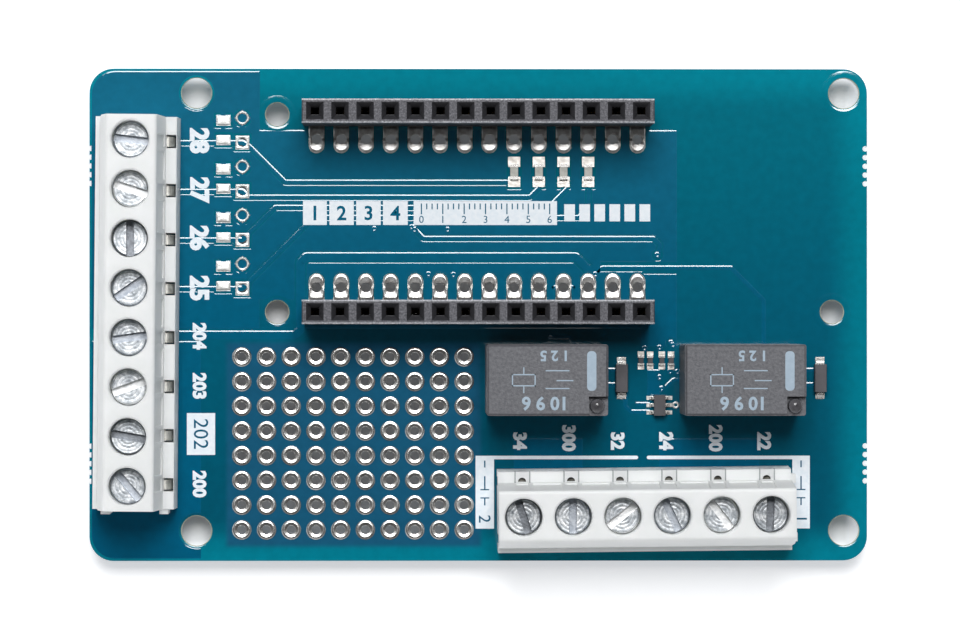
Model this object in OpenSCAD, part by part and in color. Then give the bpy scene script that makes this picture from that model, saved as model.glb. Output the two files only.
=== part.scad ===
// Two-channel relay board: a bare-edged circuit board that carries two screw terminal blocks with
// lift cages, two socket strips for a small controller board, two sealed relays with their diodes
// and driver parts, and a field of plated prototyping holes.
// Millimetres. The origin is under the middle of the board, level with the tips of the trimmed
// tails that it stands on. +X is the long way, towards the relays, +Z is out of the populated face.

/* [Circuit board] */
// Length of the board along X
board_l = 80.0; // [74:0.5:100]
// Width of the board along Y
board_w = 50.6; // [49:0.2:64]
// Thickness of the laminate
board_t = 1.6; // [1.2:0.1:2.4]
// Radius of the board's four corners
board_corner_r = 2.5; // [1:0.5:4]
// Height of the plated copper above the laminate
plating_t = 0.08; // [0.05:0.01:0.15]
// Length of the trimmed tails below the board
tail_l = 1.9; // [1.4:0.1:3]

/* [Fixing holes] */
// Diameter of the four large fixing holes
fixing_d = 3.2; // [2.6:0.1:3.8]
// Inset of the left-hand fixing holes from the board's left edge
fixing_inset_left = 11.0; // [10.6:0.1:13]
// Inset of the right-hand fixing holes from the board's right edge
fixing_inset_right = 2.4; // [2:0.1:3]
// Inset of the upper fixing holes from the board's upper edge
fixing_inset_upper = 2.5; // [2:0.1:3]
// Inset of the lower fixing holes from the board's lower edge
fixing_inset_lower = 3.1; // [2:0.1:3.2]

/* [Break-off tabs] */
// Diameter of the holes that the board was snapped off along
snap_hole_d = 0.55; // [0.4:0.05:0.8]
// Spacing of the snap holes
snap_pitch = 0.9; // [0.7:0.05:1.2]
// Number of snap holes in each tab
snap_count = 5; // [3:1:7]
// Distance of the two tabs on each side from the board's middle
tab_y = 15.3; // [12:0.1:18]

/* [Screw terminals] */
// Spacing of the poles
pole_pitch = 5.0; // [4.6:0.1:5.4]
// Height of a terminal block above the board
block_h = 10.0; // [9.8:0.2:13]
// Number of poles in the input block
input_poles = 8; // [2:1:8]
// Number of poles in the output block
output_poles = 6; // [2:1:6]
// Gap between the board's left edge and the front of the input block
input_inset = 0.75; // [0.4:0.05:2]
// Gap between the board's lower edge and the front of the output block
output_inset = 1.15; // [0.4:0.05:2]
// Distance of the output block's middle from the board's right edge
output_mid_inset = 23.1; // [20:0.1:26]
// Angle that the input block was soldered at
input_skew = -0.5; // [-1:0.1:1]
// Angle that the output block was soldered at
output_skew = 0.6; // [-1:0.1:1]

/* [Terminal screws and lift cages] */
// Diameter of the screw's thread
thread_d = 2.5; // [2:0.1:2.8]
// Diameter of the screw head
screw_head_d = 3.6; // [3.2:0.1:4.4]
// Height of the screw head
screw_head_h = 1.3; // [1:0.1:2]
// Depth of the screw head below the top of the block
screw_recess = 2.0; // [1:0.1:2.6]
// Width of the screwdriver slot
slot_w = 0.8; // [0.5:0.05:1]
// Depth of the screwdriver slot
slot_depth = 0.7; // [0.4:0.05:0.9]
// Width of a lift cage along the row
cage_w = 3.4; // [3.1:0.05:3.6]
// Depth of a lift cage along the wire
cage_d = 3.2; // [2.6:0.1:3.4]
// Thickness of a lift cage's side walls
cage_side_t = 0.45; // [0.35:0.05:0.6]
// Opening for the wire with the clamp open
wire_gap = 1.9; // [1.5:0.1:2]
// Thickness of the contact strip
strip_t = 0.5; // [0.4:0.05:0.6]

/* [Socket strips] */
// Spacing of the socket contacts and of all grid holes
grid = 2.54; // [2.5:0.01:2.6]
// Number of contacts in a strip
socket_count = 14; // [8:1:14]
// Distance between the two strips
socket_span = 20.32; // [20:0.01:23]
// Width of a strip
socket_w = 2.45; // [2.3:0.05:2.9]
// Height of a strip above the board
socket_h = 8.5; // [7:0.1:11]
// Distance of the first contact from the board's left edge
socket_inset_x = 23.32; // [22:0.01:25]
// Distance of the middle between the strips from the board's upper edge
socket_inset_y = 14.85; // [14.6:0.05:17]
// Diameter of the three holes for the controller board's corners
controller_hole_d = 2.5; // [2:0.1:3]
// Distance between the controller board's corner holes along X
controller_span = 57.1; // [50:0.1:58]

/* [Prototyping field] */
// Number of hole columns
proto_columns = 10; // [4:1:10]
// Number of hole rows
proto_rows = 8; // [3:1:8]
// Diameter of a plated hole
proto_hole_d = 1.0; // [0.8:0.05:1.1]
// Diameter of a hole's pad
proto_pad_d = 2.0; // [1.7:0.05:2.1]
// Distance of the first column from the board's left edge
proto_inset_x = 15.64; // [15:0.01:17]
// Distance of the last row from the board's lower edge
proto_inset_y = 3.2; // [3:0.05:5]

/* [Relays] */
// Length of a relay
relay_l = 12.25; // [10.2:0.05:12.8]
// Width of a relay
relay_w = 7.2; // [6.6:0.1:8.8]
// Height of a relay
relay_h = 9.6; // [8:0.1:12]
// Room between the two relays, for the diode and the driver parts
relay_gap = 7.75; // [7.6:0.05:8.8]
// Distance of the right-hand relay from the board's right edge
relay_inset_x = 7.08; // [5.8:0.02:7.6]
// Distance of the relays' middle from the board's lower edge
relay_inset_y = 18.7; // [18:0.1:20]

/* [Hidden] */

$fn = 48;
EPS = 0.01;                       // overlap that keeps a cut clear of its face

board_top = tail_l + board_t;
pad_top = board_top + plating_t;  // what the strips, relays and small parts sit on
barrel_t = 0.05;                  // wall of a plated hole

// Where each group sits on the board
input_rotation = -90 + input_skew;
output_rotation = output_skew;

// A terminal block's section, measured from the screw axis: -Y is the wire side, Z from the board
lip_front = 3.85;                 // front of the lip below the wire entries
lip_back = 3.4;                   // where the front wall rises from the lip
lip_h = 4.1;
brow_front = 3.05;                // front wall at the foot of the sloping brow
brow_h = block_h - 2.5;
crown_front = 2.5;                // flat top, in front of and behind the screws
crown_back = 2.7;
ledge_front = 3.3;                // ledge over the solder pins
ledge_back = 4.4;
ledge_h = 3.8;
foot_back = 4.6;

input_x = -board_l / 2 + input_inset + lip_front;
input_y = 0.2;
output_x = board_l / 2 - output_mid_inset;
output_y = -board_w / 2 + output_inset + lip_front;

// Inside one pole
part_gap = 0.1;                   // clearance round everything that moves or slides in
cage_travel = wire_gap - part_gap;                  // the cage stops just short of the strip
cage_floor = 0.4;                 // underside of an open cage above the board
cage_floor_t = 0.5;
cage_roof_t = 0.9;
strip_bottom = cage_floor + cage_floor_t + wire_gap;
strip_top = strip_bottom + strip_t;
cage_roof = strip_top + part_gap;                   // underside of an open cage's top wall
cage_h = cage_roof + cage_roof_t - cage_floor;
chamber_w = cage_w + 2 * part_gap;
chamber_d = cage_d + 3 * part_gap;
chamber_h = cage_floor + cage_h + cage_travel + part_gap;
head_top = block_h - screw_recess;
head_bottom = head_top - screw_head_h;
shoulder_h = head_bottom - 0.05;                    // the seat that holds the screw's head
screw_tip = strip_top + part_gap;
well_d = screw_head_d + 2 * part_gap;
shank_hole_d = thread_d + 2 * part_gap;
thread_play = 0.05;               // radial clearance between the thread and the cage
strip_w = cage_w - 2 * cage_side_t - 2 * part_gap;  // where the strip lies inside the cage
pin_w = 1.0;
pin_y = 3.85;                     // solder pin behind the screw
pin_hole_d = 1.3;
notch_w = 1.35;                   // notch in the ledge over each solder pin
entry_w = 2.8;                    // wire entry
entry_mouth_w = 3.2;
pole_panel_w = 1.2;               // sunk panels in the back wall, behind and between the poles
rib_panel_w = pole_pitch - pole_panel_w - 0.95;
key_w = 0.9;                      // interlocking keys on the end of a block
key_l = 0.5;
keys = [[-2.5, 4.9], [ledge_front + 0.1, ledge_h - 0.3]];      // [place, height] of each key

// The screws as they were left, slot angles measured from +X
input_slot_angles = [-7, -18, 90, 35, 8, 20, -10, -50];
output_slot_angles = [-72, 90, 38, -65, -52, 88];

// Socket strips, their long pads and the controller board's corner holes
socket_x = -board_l / 2 + socket_inset_x;
socket_mid_y = board_w / 2 - socket_inset_y;
upper_socket_y = socket_mid_y + socket_span / 2;
lower_socket_y = socket_mid_y - socket_span / 2;
controller_hole_x = socket_x - 4.04;                // ahead of the first contact
long_pad_w = 1.6;
long_pad_overrun = 0.65;          // from its open hole to the middle of its rounded end
long_pad_span = grid + long_pad_overrun;
long_pad_hole_d = 1.1;
long_pad_ring_d = long_pad_hole_d + 2 * barrel_t;
socket_hole_d = 1.0;
tail_w = 0.64;
tail_t = 0.35;
socket_mouth = 1.8;
socket_throat = 0.85;
funnel_depth = 0.7;
fork_w = 1.7;
fork_cavity_w = fork_w + 2 * part_gap;
fork_cavity_t = tail_t + 0.35;
fork_cavity_h = socket_h - funnel_depth - 0.3;

proto_x = -board_l / 2 + proto_inset_x;
proto_y = -board_w / 2 + proto_inset_y;

relay_x = board_l / 2 - relay_inset_x - relay_l / 2;
relay_span = relay_l + relay_gap;
relay_y = -board_w / 2 + relay_inset_y;
relay_pin_w = 0.5;
relay_pin_t = 0.25;
relay_hole_d = 0.8;
relay_row_span = 2 * grid;
relay_pin_steps = floor((relay_l / 2 - 0.8) / grid);  // grid steps from its middle to its end pins
relay_base_h = 0.3;               // feet that hold a relay off its solder
relay_pin_reach = 0.6;            // how far a pin goes up into the relay

// Divider pads behind the first four input poles
divider_count = 4;
divider_chip_x = input_x + 9.15;
divider_chip_y = 0.25;            // a pair's lower flat pad, from its pole's axis
divider_chip_step = 2.0;
divider_lead_x = input_x + 11.1;
divider_pad_l = 1.45;
divider_pad_w = 1.0;
divider_lead_pad = 1.4;
divider_ring_d = proto_hole_d + 0.3;
divider_lead_ring_d = 1.25;

// Small parts, as [length over the pads, body length, width, height]
filter_chip = [3.1, 1.6, 0.85, 0.45];
driver_chip = [1.85, 1.0, 0.55, 0.35];
diode = [4.1, 2.85, 1.3, 1.0];
transistor_body = [1.15, 2.1, 0.9];
transistor_lead_pitch = 0.75;
transistor_span = 2.15;           // over the leads
filter_x = socket_x + 8 * grid;
filter_y = upper_socket_y - 5.9;
driver_insets = [3.975, 3.025, 1.825, 0.875];       // ahead of the right-hand relay
driver_chip_y = 1.9;
transistor_at = [-relay_l / 2 - 2.075, -2.7];
diode_insets = [1.775, 2.225];                      // behind each relay
diode_y = 0.1;

// ---------- shared shapes ----------

// A flat plate with round corners, standing on Z = 0
module rounded_plate(l, w, r, h) {
    linear_extrude(h) {
        square([l - 2 * r, w], center = true);
        square([l, w - 2 * r], center = true);
        for (x = [-1, 1], y = [-1, 1])
            translate([x * (l / 2 - r), y * (w / 2 - r)]) circle(r);
    }
}

// Draws a (Y, Z) outline and pulls it along X, centred
module profile_along_x(length, points) {
    rotate([90, 0, 90])
        linear_extrude(length, center = true) polygon(points);
}

// Draws an (X, Z) outline and pulls it along Y, centred
module profile_along_y(width, points) {
    rotate([90, 0, 0]) linear_extrude(width, center = true) polygon(points);
}

// Points of an arc, for rounding a corner of an outline
function arc(centre, r, from, to, steps = 6) =
    [for (i = [0:steps]) let (a = from + (to - from) * i / steps)
        [centre.x + r * cos(a), centre.y + r * sin(a)]];

// A hole's plating: a ring on each face of the board and the barrel between them
module plated_hole(hole_d, pad_d) {
    barrel_r = hole_d / 2 + barrel_t;
    edge = plating_t / 2;
    translate([0, 0, tail_l])
        rotate_extrude()
            polygon([
                [hole_d / 2, -plating_t], [pad_d / 2 - edge, -plating_t], [pad_d / 2, 0],
                [barrel_r, 0], [barrel_r, board_t],
                [pad_d / 2, board_t], [pad_d / 2 - edge, board_t + plating_t],
                [hole_d / 2, board_t + plating_t]
            ]);
}

// The hole in the board that takes such a barrel
function drilled(hole_d) = hole_d + 2 * (barrel_t + 0.01);

// A square-edged chip between two wrap-round metal ends, lying along Y
module chip_body(part) {
    coat = 0.03;                  // thickness of the metal ends
    translate([-part[2] / 2 + coat, -part[1] / 2 + coat, pad_top + coat])
        cube([part[2] - 2 * coat, part[1] - 2 * coat, part[3] - 2 * coat]);
}

module chip_ends(part) {
    end_l = part[1] * 0.2;
    for (side = [-1, 1])
        difference() {
            translate([-part[2] / 2, side * (part[1] - end_l) / 2 - end_l / 2, pad_top])
                cube([part[2], end_l, part[3]]);
            chip_body(part);
        }
}

// ---------- places ----------

module on_input_block() {
    translate([input_x, input_y, board_top]) rotate([0, 0, input_rotation]) children();
}

module on_output_block() {
    translate([output_x, output_y, board_top]) rotate([0, 0, output_rotation]) children();
}

module at_pole(i, poles) {
    translate([(i - (poles - 1) / 2) * pole_pitch, 0, 0]) children();
}

module at_relay(i) {
    translate([relay_x - (1 - i) * relay_span, relay_y, 0]) children();
}

module at_sockets(y) {
    for (i = [0:socket_count - 1]) translate([socket_x + i * grid, y, 0]) children();
}

module at_proto_holes() {
    for (column = [0:proto_columns - 1], row = [0:proto_rows - 1])
        translate([proto_x + column * grid, proto_y + row * grid, 0]) children();
}

// The long pad's open hole lies one grid step inside its socket contact
module at_long_pads() {
    at_sockets(upper_socket_y) rotate([0, 0, 180]) children();
    at_sockets(lower_socket_y) children();
}

module at_relay_pins() {
    for (x = [-relay_pin_steps, relay_pin_steps - 1, relay_pin_steps], y = [-1, 1])
        translate([x * grid, y * relay_row_span / 2, 0]) children();
}

module at_dividers() {
    for (i = [0:divider_count - 1])
        translate([0, input_y + ((input_poles - 1) / 2 - i) * pole_pitch, 0]) children();
}

// ---------- circuit board ----------

module drill(d) {
    translate([0, 0, tail_l - EPS]) cylinder(d = d, h = board_t + 2 * EPS);
}

module snap_tab_holes() {
    for (side = [-1, 1], y = [-tab_y, tab_y], i = [0:snap_count - 1])
        translate([
            side * (board_l / 2 - snap_hole_d / 3),
            y + (i - (snap_count - 1) / 2) * snap_pitch, 0
        ]) drill(snap_hole_d);
}

module fixing_holes() {
    columns = [-board_l / 2 + fixing_inset_left, board_l / 2 - fixing_inset_right];
    rows = [-board_w / 2 + fixing_inset_lower, board_w / 2 - fixing_inset_upper];
    for (x = columns, y = rows) translate([x, y, 0]) drill(fixing_d);
}

module controller_holes() {
    translate([controller_hole_x, upper_socket_y, 0]) drill(controller_hole_d);
    for (x = [0, controller_span])
        translate([controller_hole_x + x, lower_socket_y, 0]) drill(controller_hole_d);
}

module circuit_board() {
    color("#00617f")
        difference() {
            translate([0, 0, tail_l]) rounded_plate(board_l, board_w, board_corner_r, board_t);
            fixing_holes();
            controller_holes();
            snap_tab_holes();
            at_proto_holes() drill(drilled(proto_hole_d));
            at_long_pads() {
                drill(socket_hole_d);
                translate([0, grid, 0]) drill(drilled(long_pad_hole_d));
            }
            on_input_block()
                for (i = [0:input_poles - 1])
                    at_pole(i, input_poles) translate([0, pin_y, -board_top]) drill(pin_hole_d);
            on_output_block()
                for (i = [0:output_poles - 1])
                    at_pole(i, output_poles) translate([0, pin_y, -board_top]) drill(pin_hole_d);
            for (i = [0, 1]) at_relay(i) at_relay_pins() drill(relay_hole_d);
            at_dividers()
                for (step = [0, grid])
                    translate([divider_lead_x, step, 0]) drill(drilled(proto_hole_d));
        }
}

module proto_pads() {
    color("#c9cac6") at_proto_holes() plated_hole(proto_hole_d, proto_pad_d);
}

// One long pad joins a socket contact's solder hole to an open hole beside it
module socket_pads() {
    color("#c9cac6")
        at_long_pads() {
            difference() {
                for (z = [tail_l - plating_t, board_top])
                    translate([0, 0, z])
                        linear_extrude(plating_t) {
                            for (y = [0, long_pad_span]) translate([0, y]) circle(d = long_pad_w);
                            translate([-long_pad_w / 2, 0]) square([long_pad_w, long_pad_span]);
                        }
                for (hole = [[0, socket_hole_d], [grid, long_pad_ring_d]])
                    translate([0, hole[0], tail_l - 1])
                        cylinder(d = hole[1], h = board_t + 2);
            }
            translate([0, grid, tail_l - plating_t])
                difference() {
                    cylinder(d = long_pad_ring_d, h = board_t + 2 * plating_t);
                    translate([0, 0, -EPS])
                        cylinder(d = long_pad_hole_d, h = board_t + 2 * plating_t + 2 * EPS);
                }
        }
}

// Empty places for a surface-mounted or a leaded resistor behind each of the first input poles
module divider_pads() {
    color("#c9cac6")
        at_dividers() {
            for (step = [0, divider_chip_step])
                translate([divider_chip_x, divider_chip_y + step, board_top + plating_t / 2])
                    cube([divider_pad_l, divider_pad_w, plating_t], center = true);
            translate([divider_lead_x, grid, 0])
                plated_hole(proto_hole_d, divider_lead_ring_d);
            translate([divider_lead_x, 0, 0]) {
                plated_hole(proto_hole_d, divider_ring_d);
                translate([0, 0, board_top])
                    difference() {
                        translate([-divider_lead_pad / 2, -divider_lead_pad / 2, 0])
                            cube([divider_lead_pad, divider_lead_pad, plating_t]);
                        translate([0, 0, -EPS])
                            cylinder(d = divider_ring_d, h = plating_t + 2 * EPS);
                    }
            }
        }
}

// Pads under the parts that are soldered flat on the board
module surface_pads() {
    filter_land_l = 1.05;
    driver_land_l = 0.65;
    diode_land_l = 1.0;
    lead_land = [0.75, 0.4];
    module pair(length, land_l, width) {
        for (side = [-1, 1])
            translate([-width / 2, side * (length - land_l) / 2 - land_l / 2, board_top])
                cube([width, land_l, plating_t]);
    }
    color("#c9cac6") {
        at_filter_chips() pair(filter_chip[0], filter_land_l, filter_chip[2] + 0.4);
        at_driver_chips() pair(driver_chip[0], driver_land_l, driver_chip[2] + 0.1);
        at_diodes() pair(diode[0] + 0.2, diode_land_l, diode[2] * 0.7);
        at_transistor() at_transistor_leads()
            translate([0.1, -lead_land.y / 2, board_top])
                cube([lead_land.x, lead_land.y, plating_t]);
    }
}

// A cone of solder on the underside round each tail, [hole width, hole depth] being the tail's
module solder_cone(tail) {
    foot_r = 0.95;
    tip_r = 0.45;
    height = 1.0;
    difference() {
        translate([0, 0, tail_l - plating_t - height]) cylinder(r1 = tip_r, r2 = foot_r, h = height);
        translate([0, 0, tail_l - height / 2])
            cube([tail[0], tail[1], 3 * height], center = true);
    }
}

module solder_joints() {
    color("#c4c6c8") {
        at_long_pads() solder_cone([tail_w, tail_t]);
        on_input_block()
            for (i = [0:input_poles - 1])
                at_pole(i, input_poles)
                    translate([0, pin_y, -board_top]) solder_cone([pin_w, strip_t]);
        on_output_block()
            for (i = [0:output_poles - 1])
                at_pole(i, output_poles)
                    translate([0, pin_y, -board_top]) solder_cone([pin_w, strip_t]);
        for (i = [0, 1]) at_relay(i) at_relay_pins() solder_cone([relay_pin_w, relay_pin_t]);
    }
}

// ---------- socket strips ----------

// A square funnel: the mouth narrows to the throat, cut as two crossing wedges
module square_funnel(mouth, throat, depth) {
    m = mouth / 2;
    t = throat / 2;
    outline = [[-t, 0], [t, 0], [m, depth], [m, depth + EPS], [-m, depth + EPS], [-m, depth]];
    intersection() {
        profile_along_x(mouth + EPS, outline);
        rotate([0, 0, 90]) profile_along_x(mouth + EPS, outline);
    }
}

module socket_cavity() {
    floor_h = 0.9;
    translate([-fork_cavity_w / 2, -fork_cavity_t / 2, floor_h])
        cube([fork_cavity_w, fork_cavity_t, fork_cavity_h - floor_h]);
    translate([-tail_w / 2 - part_gap, -tail_t / 2 - part_gap, -EPS])
        cube([tail_w + 2 * part_gap, tail_t + 2 * part_gap, floor_h + 2 * EPS]);
    translate([-socket_throat / 2, -socket_throat / 2, fork_cavity_h - EPS])
        cube([socket_throat, socket_throat, socket_h - fork_cavity_h]);
    translate([0, 0, socket_h - funnel_depth]) square_funnel(socket_mouth, socket_throat, funnel_depth);
}

module socket_strip(y) {
    length = socket_count * grid + 0.1;
    edge = 0.12;
    w = socket_w / 2;
    color("#3b3a3e")
        difference() {
            translate([socket_x + (socket_count - 1) * grid / 2, y, board_top])
                intersection() {
                    profile_along_x(length, [
                        [-w, plating_t], [w, plating_t], [w, socket_h - edge],
                        [w - edge, socket_h], [-w + edge, socket_h], [-w, socket_h - edge]
                    ]);
                    rotate([0, 0, 90]) profile_along_x(socket_w + 1, [
                        [-length / 2, 0], [length / 2, 0], [length / 2, socket_h - edge],
                        [length / 2 - edge, socket_h], [-length / 2 + edge, socket_h],
                        [-length / 2, socket_h - edge]
                    ]);
                }
            at_sockets(y) translate([0, 0, board_top]) socket_cavity();
        }
}

module upper_socket_strip() { socket_strip(upper_socket_y); }
module lower_socket_strip() { socket_strip(lower_socket_y); }

// A stamped tuning fork: two sprung tines above, the solder tail below
module fork_contact() {
    root = 1.0;                   // where the tail widens into the fork
    yoke = 2.2;                   // where the tines part
    nip = fork_cavity_h - 1.1;    // where the tines grip the pin
    tip = fork_cavity_h - 0.2;
    half = fork_w / 2;
    right_side = [
        [tail_w / 2, root], [half, root], [half, yoke + 1.2], [half - 0.2, nip], [half, tip],
        [half - 0.25, tip], [0.24, nip], [half - 0.4, yoke + 0.9]
    ];
    left_side = [for (i = [len(right_side) - 1:-1:0]) [-right_side[i].x, right_side[i].y]];
    tail = [
        [-tail_w / 2, 0.2 - board_top], [-tail_w / 4, -board_top],
        [tail_w / 4, -board_top], [tail_w / 2, 0.2 - board_top]
    ];
    rotate([90, 0, 0])
        linear_extrude(tail_t, center = true)
            polygon(concat(
                right_side, arc([0, yoke + 0.45], 0.45, 0, -180), left_side, tail
            ));
}

module socket_contacts(y) {
    color("#b9a36c") at_sockets(y) translate([0, 0, board_top]) fork_contact();
}

module upper_socket_contacts() { socket_contacts(upper_socket_y); }
module lower_socket_contacts() { socket_contacts(lower_socket_y); }

// ---------- screw terminal blocks ----------

module block_section(length) {
    r = 0.35;
    profile_along_x(length, concat(
        [[-lip_front, 0], [-lip_front, lip_h], [-lip_back, lip_h], [-brow_front, brow_h]],
        arc([-crown_front + r, block_h - r], r, 165, 90),
        arc([crown_back - r, block_h - r], r, 90, 5),
        [[ledge_front, ledge_h], [ledge_back, ledge_h], [foot_back, 0]]
    ));
}

// Funnel from the front face into the chamber
module wire_entry() {
    front = -lip_front - 1;
    throat = -lip_front + 1.2;
    back = -chamber_d / 2 + EPS;
    low = cage_floor + cage_floor_t;
    high = strip_bottom + 0.2;
    m = entry_mouth_w / 2;
    w = entry_w / 2;
    intersection() {
        profile_along_x(entry_mouth_w, [
            [front, low - 0.4], [-lip_front, low - 0.4], [throat, low], [back, low],
            [back, high], [throat, high], [-lip_front, high + 0.45], [front, high + 0.45]
        ]);
        linear_extrude(2 * lip_h)
            polygon([
                [-m, front], [m, front], [m, -lip_front], [w, throat], [w, back],
                [-w, back], [-w, throat], [-m, -lip_front]
            ]);
    }
}

// A shallow panel sunk in the steep back wall
module back_panel(width) {
    depth = 0.15;
    margin = 0.7;
    lean = (ledge_front - crown_back) / (block_h - ledge_h);
    low = ledge_h + margin;
    high = block_h - margin;
    function wall(z) = ledge_front - (z - ledge_h) * lean;
    profile_along_x(width, [
        [wall(low) - depth, low], [wall(low) + 1, low], [wall(high) + 1, high],
        [wall(high) - depth, high]
    ]);
}

// Everything that is cut out of the housing for one pole
module pole_hollows() {
    rim = 0.15;
    translate([-chamber_w / 2, -chamber_d / 2, -EPS])
        cube([chamber_w, chamber_d, chamber_h + EPS]);
    cylinder(d = shank_hole_d, h = block_h);
    translate([0, 0, shoulder_h]) cylinder(d = well_d, h = block_h);
    translate([0, 0, block_h - rim])
        cylinder(r1 = well_d / 2, r2 = well_d / 2 + rim + EPS, h = rim + EPS);
    wire_entry();
    translate([-pin_w / 2 - part_gap, 0, strip_bottom - part_gap])
        cube([pin_w + 2 * part_gap, pin_y, strip_t + 2 * part_gap]);
    back_panel(pole_panel_w);
}

// The notch that leaves a solder pin open to view
module open_notch() {
    translate([-notch_w / 2, pin_y - 0.5, -EPS]) cube([notch_w, 1.0, ledge_h + 1]);
}

// The same notch closed by a tab with a half-round window
module tabbed_notch() {
    tab_t = 0.35;
    window_r = 0.42;
    line = 0.08;
    tab_w = notch_w + 0.2;
    translate([-notch_w / 2, pin_y - 0.5, -EPS]) cube([notch_w, 1.0, ledge_h - tab_t + EPS]);
    translate([0, ledge_front + 0.08, 0])
        intersection() {
            cylinder(r = window_r, h = ledge_h + 1);
            translate([-1, 0, 0]) cube([2, 1, ledge_h + 1]);
        }
    for (x = [-tab_w / 2, tab_w / 2 - line])
        translate([x, ledge_front, ledge_h - line]) cube([line, 1.5, 1]);
}

// Keys on one end of a block drop into grooves in the other end of the next
module end_keys(length, gap) {
    l = key_l + gap;
    w = key_w + 2 * gap;
    for (key = keys)
        translate([length / 2 - EPS, key[0] - w / 2, -EPS])
            cube([l + EPS, w, key[1] + gap + EPS]);
}

module terminal_housing(poles, open_notches) {
    length = poles * pole_pitch;
    color("#dfdfdd")
        difference() {
            union() {
                block_section(length);
                intersection() {
                    end_keys(length, 0);
                    translate([0, -10, 0]) cube([length, 20, block_h]);
                }
            }
            translate([-length, 0, 0]) end_keys(length, 0.05);
            for (i = [0:poles - 1])
                at_pole(i, poles) {
                    pole_hollows();
                    if (open_notches) open_notch(); else tabbed_notch();
                }
            for (i = [0.5:1:poles - 1]) at_pole(i, poles) back_panel(rib_panel_w);
        }
}

module input_block_housing() { on_input_block() terminal_housing(input_poles, true); }
module output_block_housing() { on_output_block() terminal_housing(output_poles, false); }

// One bent strip: it lies through the cage, turns down behind it and ends in the solder pin
module contact_strip() {
    inner_r = 0.2;
    outer_r = inner_r + strip_t;
    back = pin_y + strip_t / 2;
    bottom = -board_top;
    chamfer = 0.15;
    start = -cage_d / 2 + 0.05;
    profile_along_x(pin_w, concat(
        [[start, strip_bottom], [start, strip_top]],
        arc([back - outer_r, strip_top - outer_r], outer_r, 90, 0),
        [[back, bottom + chamfer], [back - chamfer, bottom],
         [back - strip_t + chamfer, bottom], [back - strip_t, bottom + chamfer]],
        arc([back - outer_r, strip_top - outer_r], inner_r, 0, 90)
    ));
    translate([-strip_w / 2, start, strip_bottom]) cube([strip_w, cage_d, strip_t]);
}

module contact_strips(poles) {
    color("#b8b6b2") for (i = [0:poles - 1]) at_pole(i, poles) contact_strip();
}

module input_contact_strips() { on_input_block() contact_strips(input_poles); }
module output_contact_strips() { on_output_block() contact_strips(output_poles); }

// A cheese-head screw, its slot turned to an angle
module terminal_screw(angle) {
    r = screw_head_d / 2;
    edge = 0.15;
    tip = 0.25;
    color("#b4b7ba")
        difference() {
            rotate_extrude()
                polygon([
                    [0, screw_tip], [thread_d / 2 - tip, screw_tip], [thread_d / 2, screw_tip + tip],
                    [thread_d / 2, head_bottom], [r, head_bottom], [r, head_top - edge],
                    [r - edge, head_top], [0, head_top]
                ]);
            rotate([0, 0, angle])
                translate([-screw_head_d, -slot_w / 2, head_top - slot_depth])
                    cube([2 * screw_head_d, slot_w, slot_depth + 1]);
        }
}

// A square ring round the strip and the wire, with the screw's hole through its top wall
module lift_cage() {
    corner_r = 0.3;
    groove = 0.12;                // V grooves that grip the wire
    groove_step = 0.8;
    window_w = cage_w - 2 * cage_side_t;
    color("#a9acae")
        difference() {
            translate([0, cage_d / 2, cage_floor + cage_h / 2])
                rotate([90, 0, 0]) rounded_plate(cage_w, cage_h, corner_r, cage_d);
            translate([-window_w / 2, -cage_d, cage_floor + cage_floor_t])
                cube([window_w, 2 * cage_d, cage_roof - cage_floor - cage_floor_t]);
            translate([0, 0, cage_roof - EPS])
                cylinder(d = thread_d + 2 * thread_play, h = cage_roof_t + 1);
            for (y = [-groove_step, 0, groove_step])
                translate([0, y, cage_floor + cage_floor_t])
                    profile_along_x(window_w, [[-groove, EPS], [0, -groove], [groove, EPS]]);
        }
}

module input_screw(i) {
    on_input_block() at_pole(i, input_poles)
        terminal_screw(input_slot_angles[i] - input_rotation);
}

module output_screw(i) {
    on_output_block() at_pole(i, output_poles)
        terminal_screw(output_slot_angles[i] - output_rotation);
}

module input_cage(i) { on_input_block() at_pole(i, input_poles) lift_cage(); }
module output_cage(i) { on_output_block() at_pole(i, output_poles) lift_cage(); }

// ---------- relays ----------

module relay_can() {
    edge = 0.25;
    foot_l = 1.0;
    pocket = 1.95;                // corner pocket round the vent nib
    pocket_depth = 0.8;
    nib_d = 1.6;
    nib_h = 0.75;
    nib_at = [relay_l / 2 - 1.1, -relay_w / 2 + 1.0];
    pin_pocket_d = 1.2;
    module bevelled(width, height, across) {
        profile_along_x(across, [
            [-width / 2, 0], [width / 2, 0], [width / 2, height - edge], [width / 2 - edge, height],
            [-width / 2 + edge, height], [-width / 2, height - edge]
        ]);
    }
    color("#5b585b")
        translate([0, 0, pad_top]) {
            difference() {
                intersection() {
                    rounded_plate(relay_l, relay_w, edge, relay_h);
                    bevelled(relay_w, relay_h, relay_l + 1);
                    rotate([0, 0, 90]) bevelled(relay_l, relay_h, relay_w + 1);
                }
                translate([relay_l / 2 - pocket, -relay_w / 2 - 1, relay_h - pocket_depth])
                    cube([pocket + 1, pocket + 1, 2]);
                // the space between the feet
                translate([-relay_l / 2 + foot_l, -relay_w, -EPS])
                    cube([relay_l - 2 * foot_l, 2 * relay_w, relay_base_h + EPS]);
                at_relay_pins()
                    translate([0, 0, -EPS])
                        cylinder(d = pin_pocket_d, h = relay_base_h + relay_pin_reach);
            }
            translate([nib_at.x, nib_at.y, relay_h - pocket_depth - 0.1])
                cylinder(d1 = nib_d, d2 = nib_d - 0.3, h = nib_h);
        }
}

module relay_pins() {
    color("#c4c6c8")
        at_relay_pins()
            translate([-relay_pin_w / 2, -relay_pin_t / 2, 0])
                cube([relay_pin_w, relay_pin_t, pad_top + relay_base_h + relay_pin_reach]);
}

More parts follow.
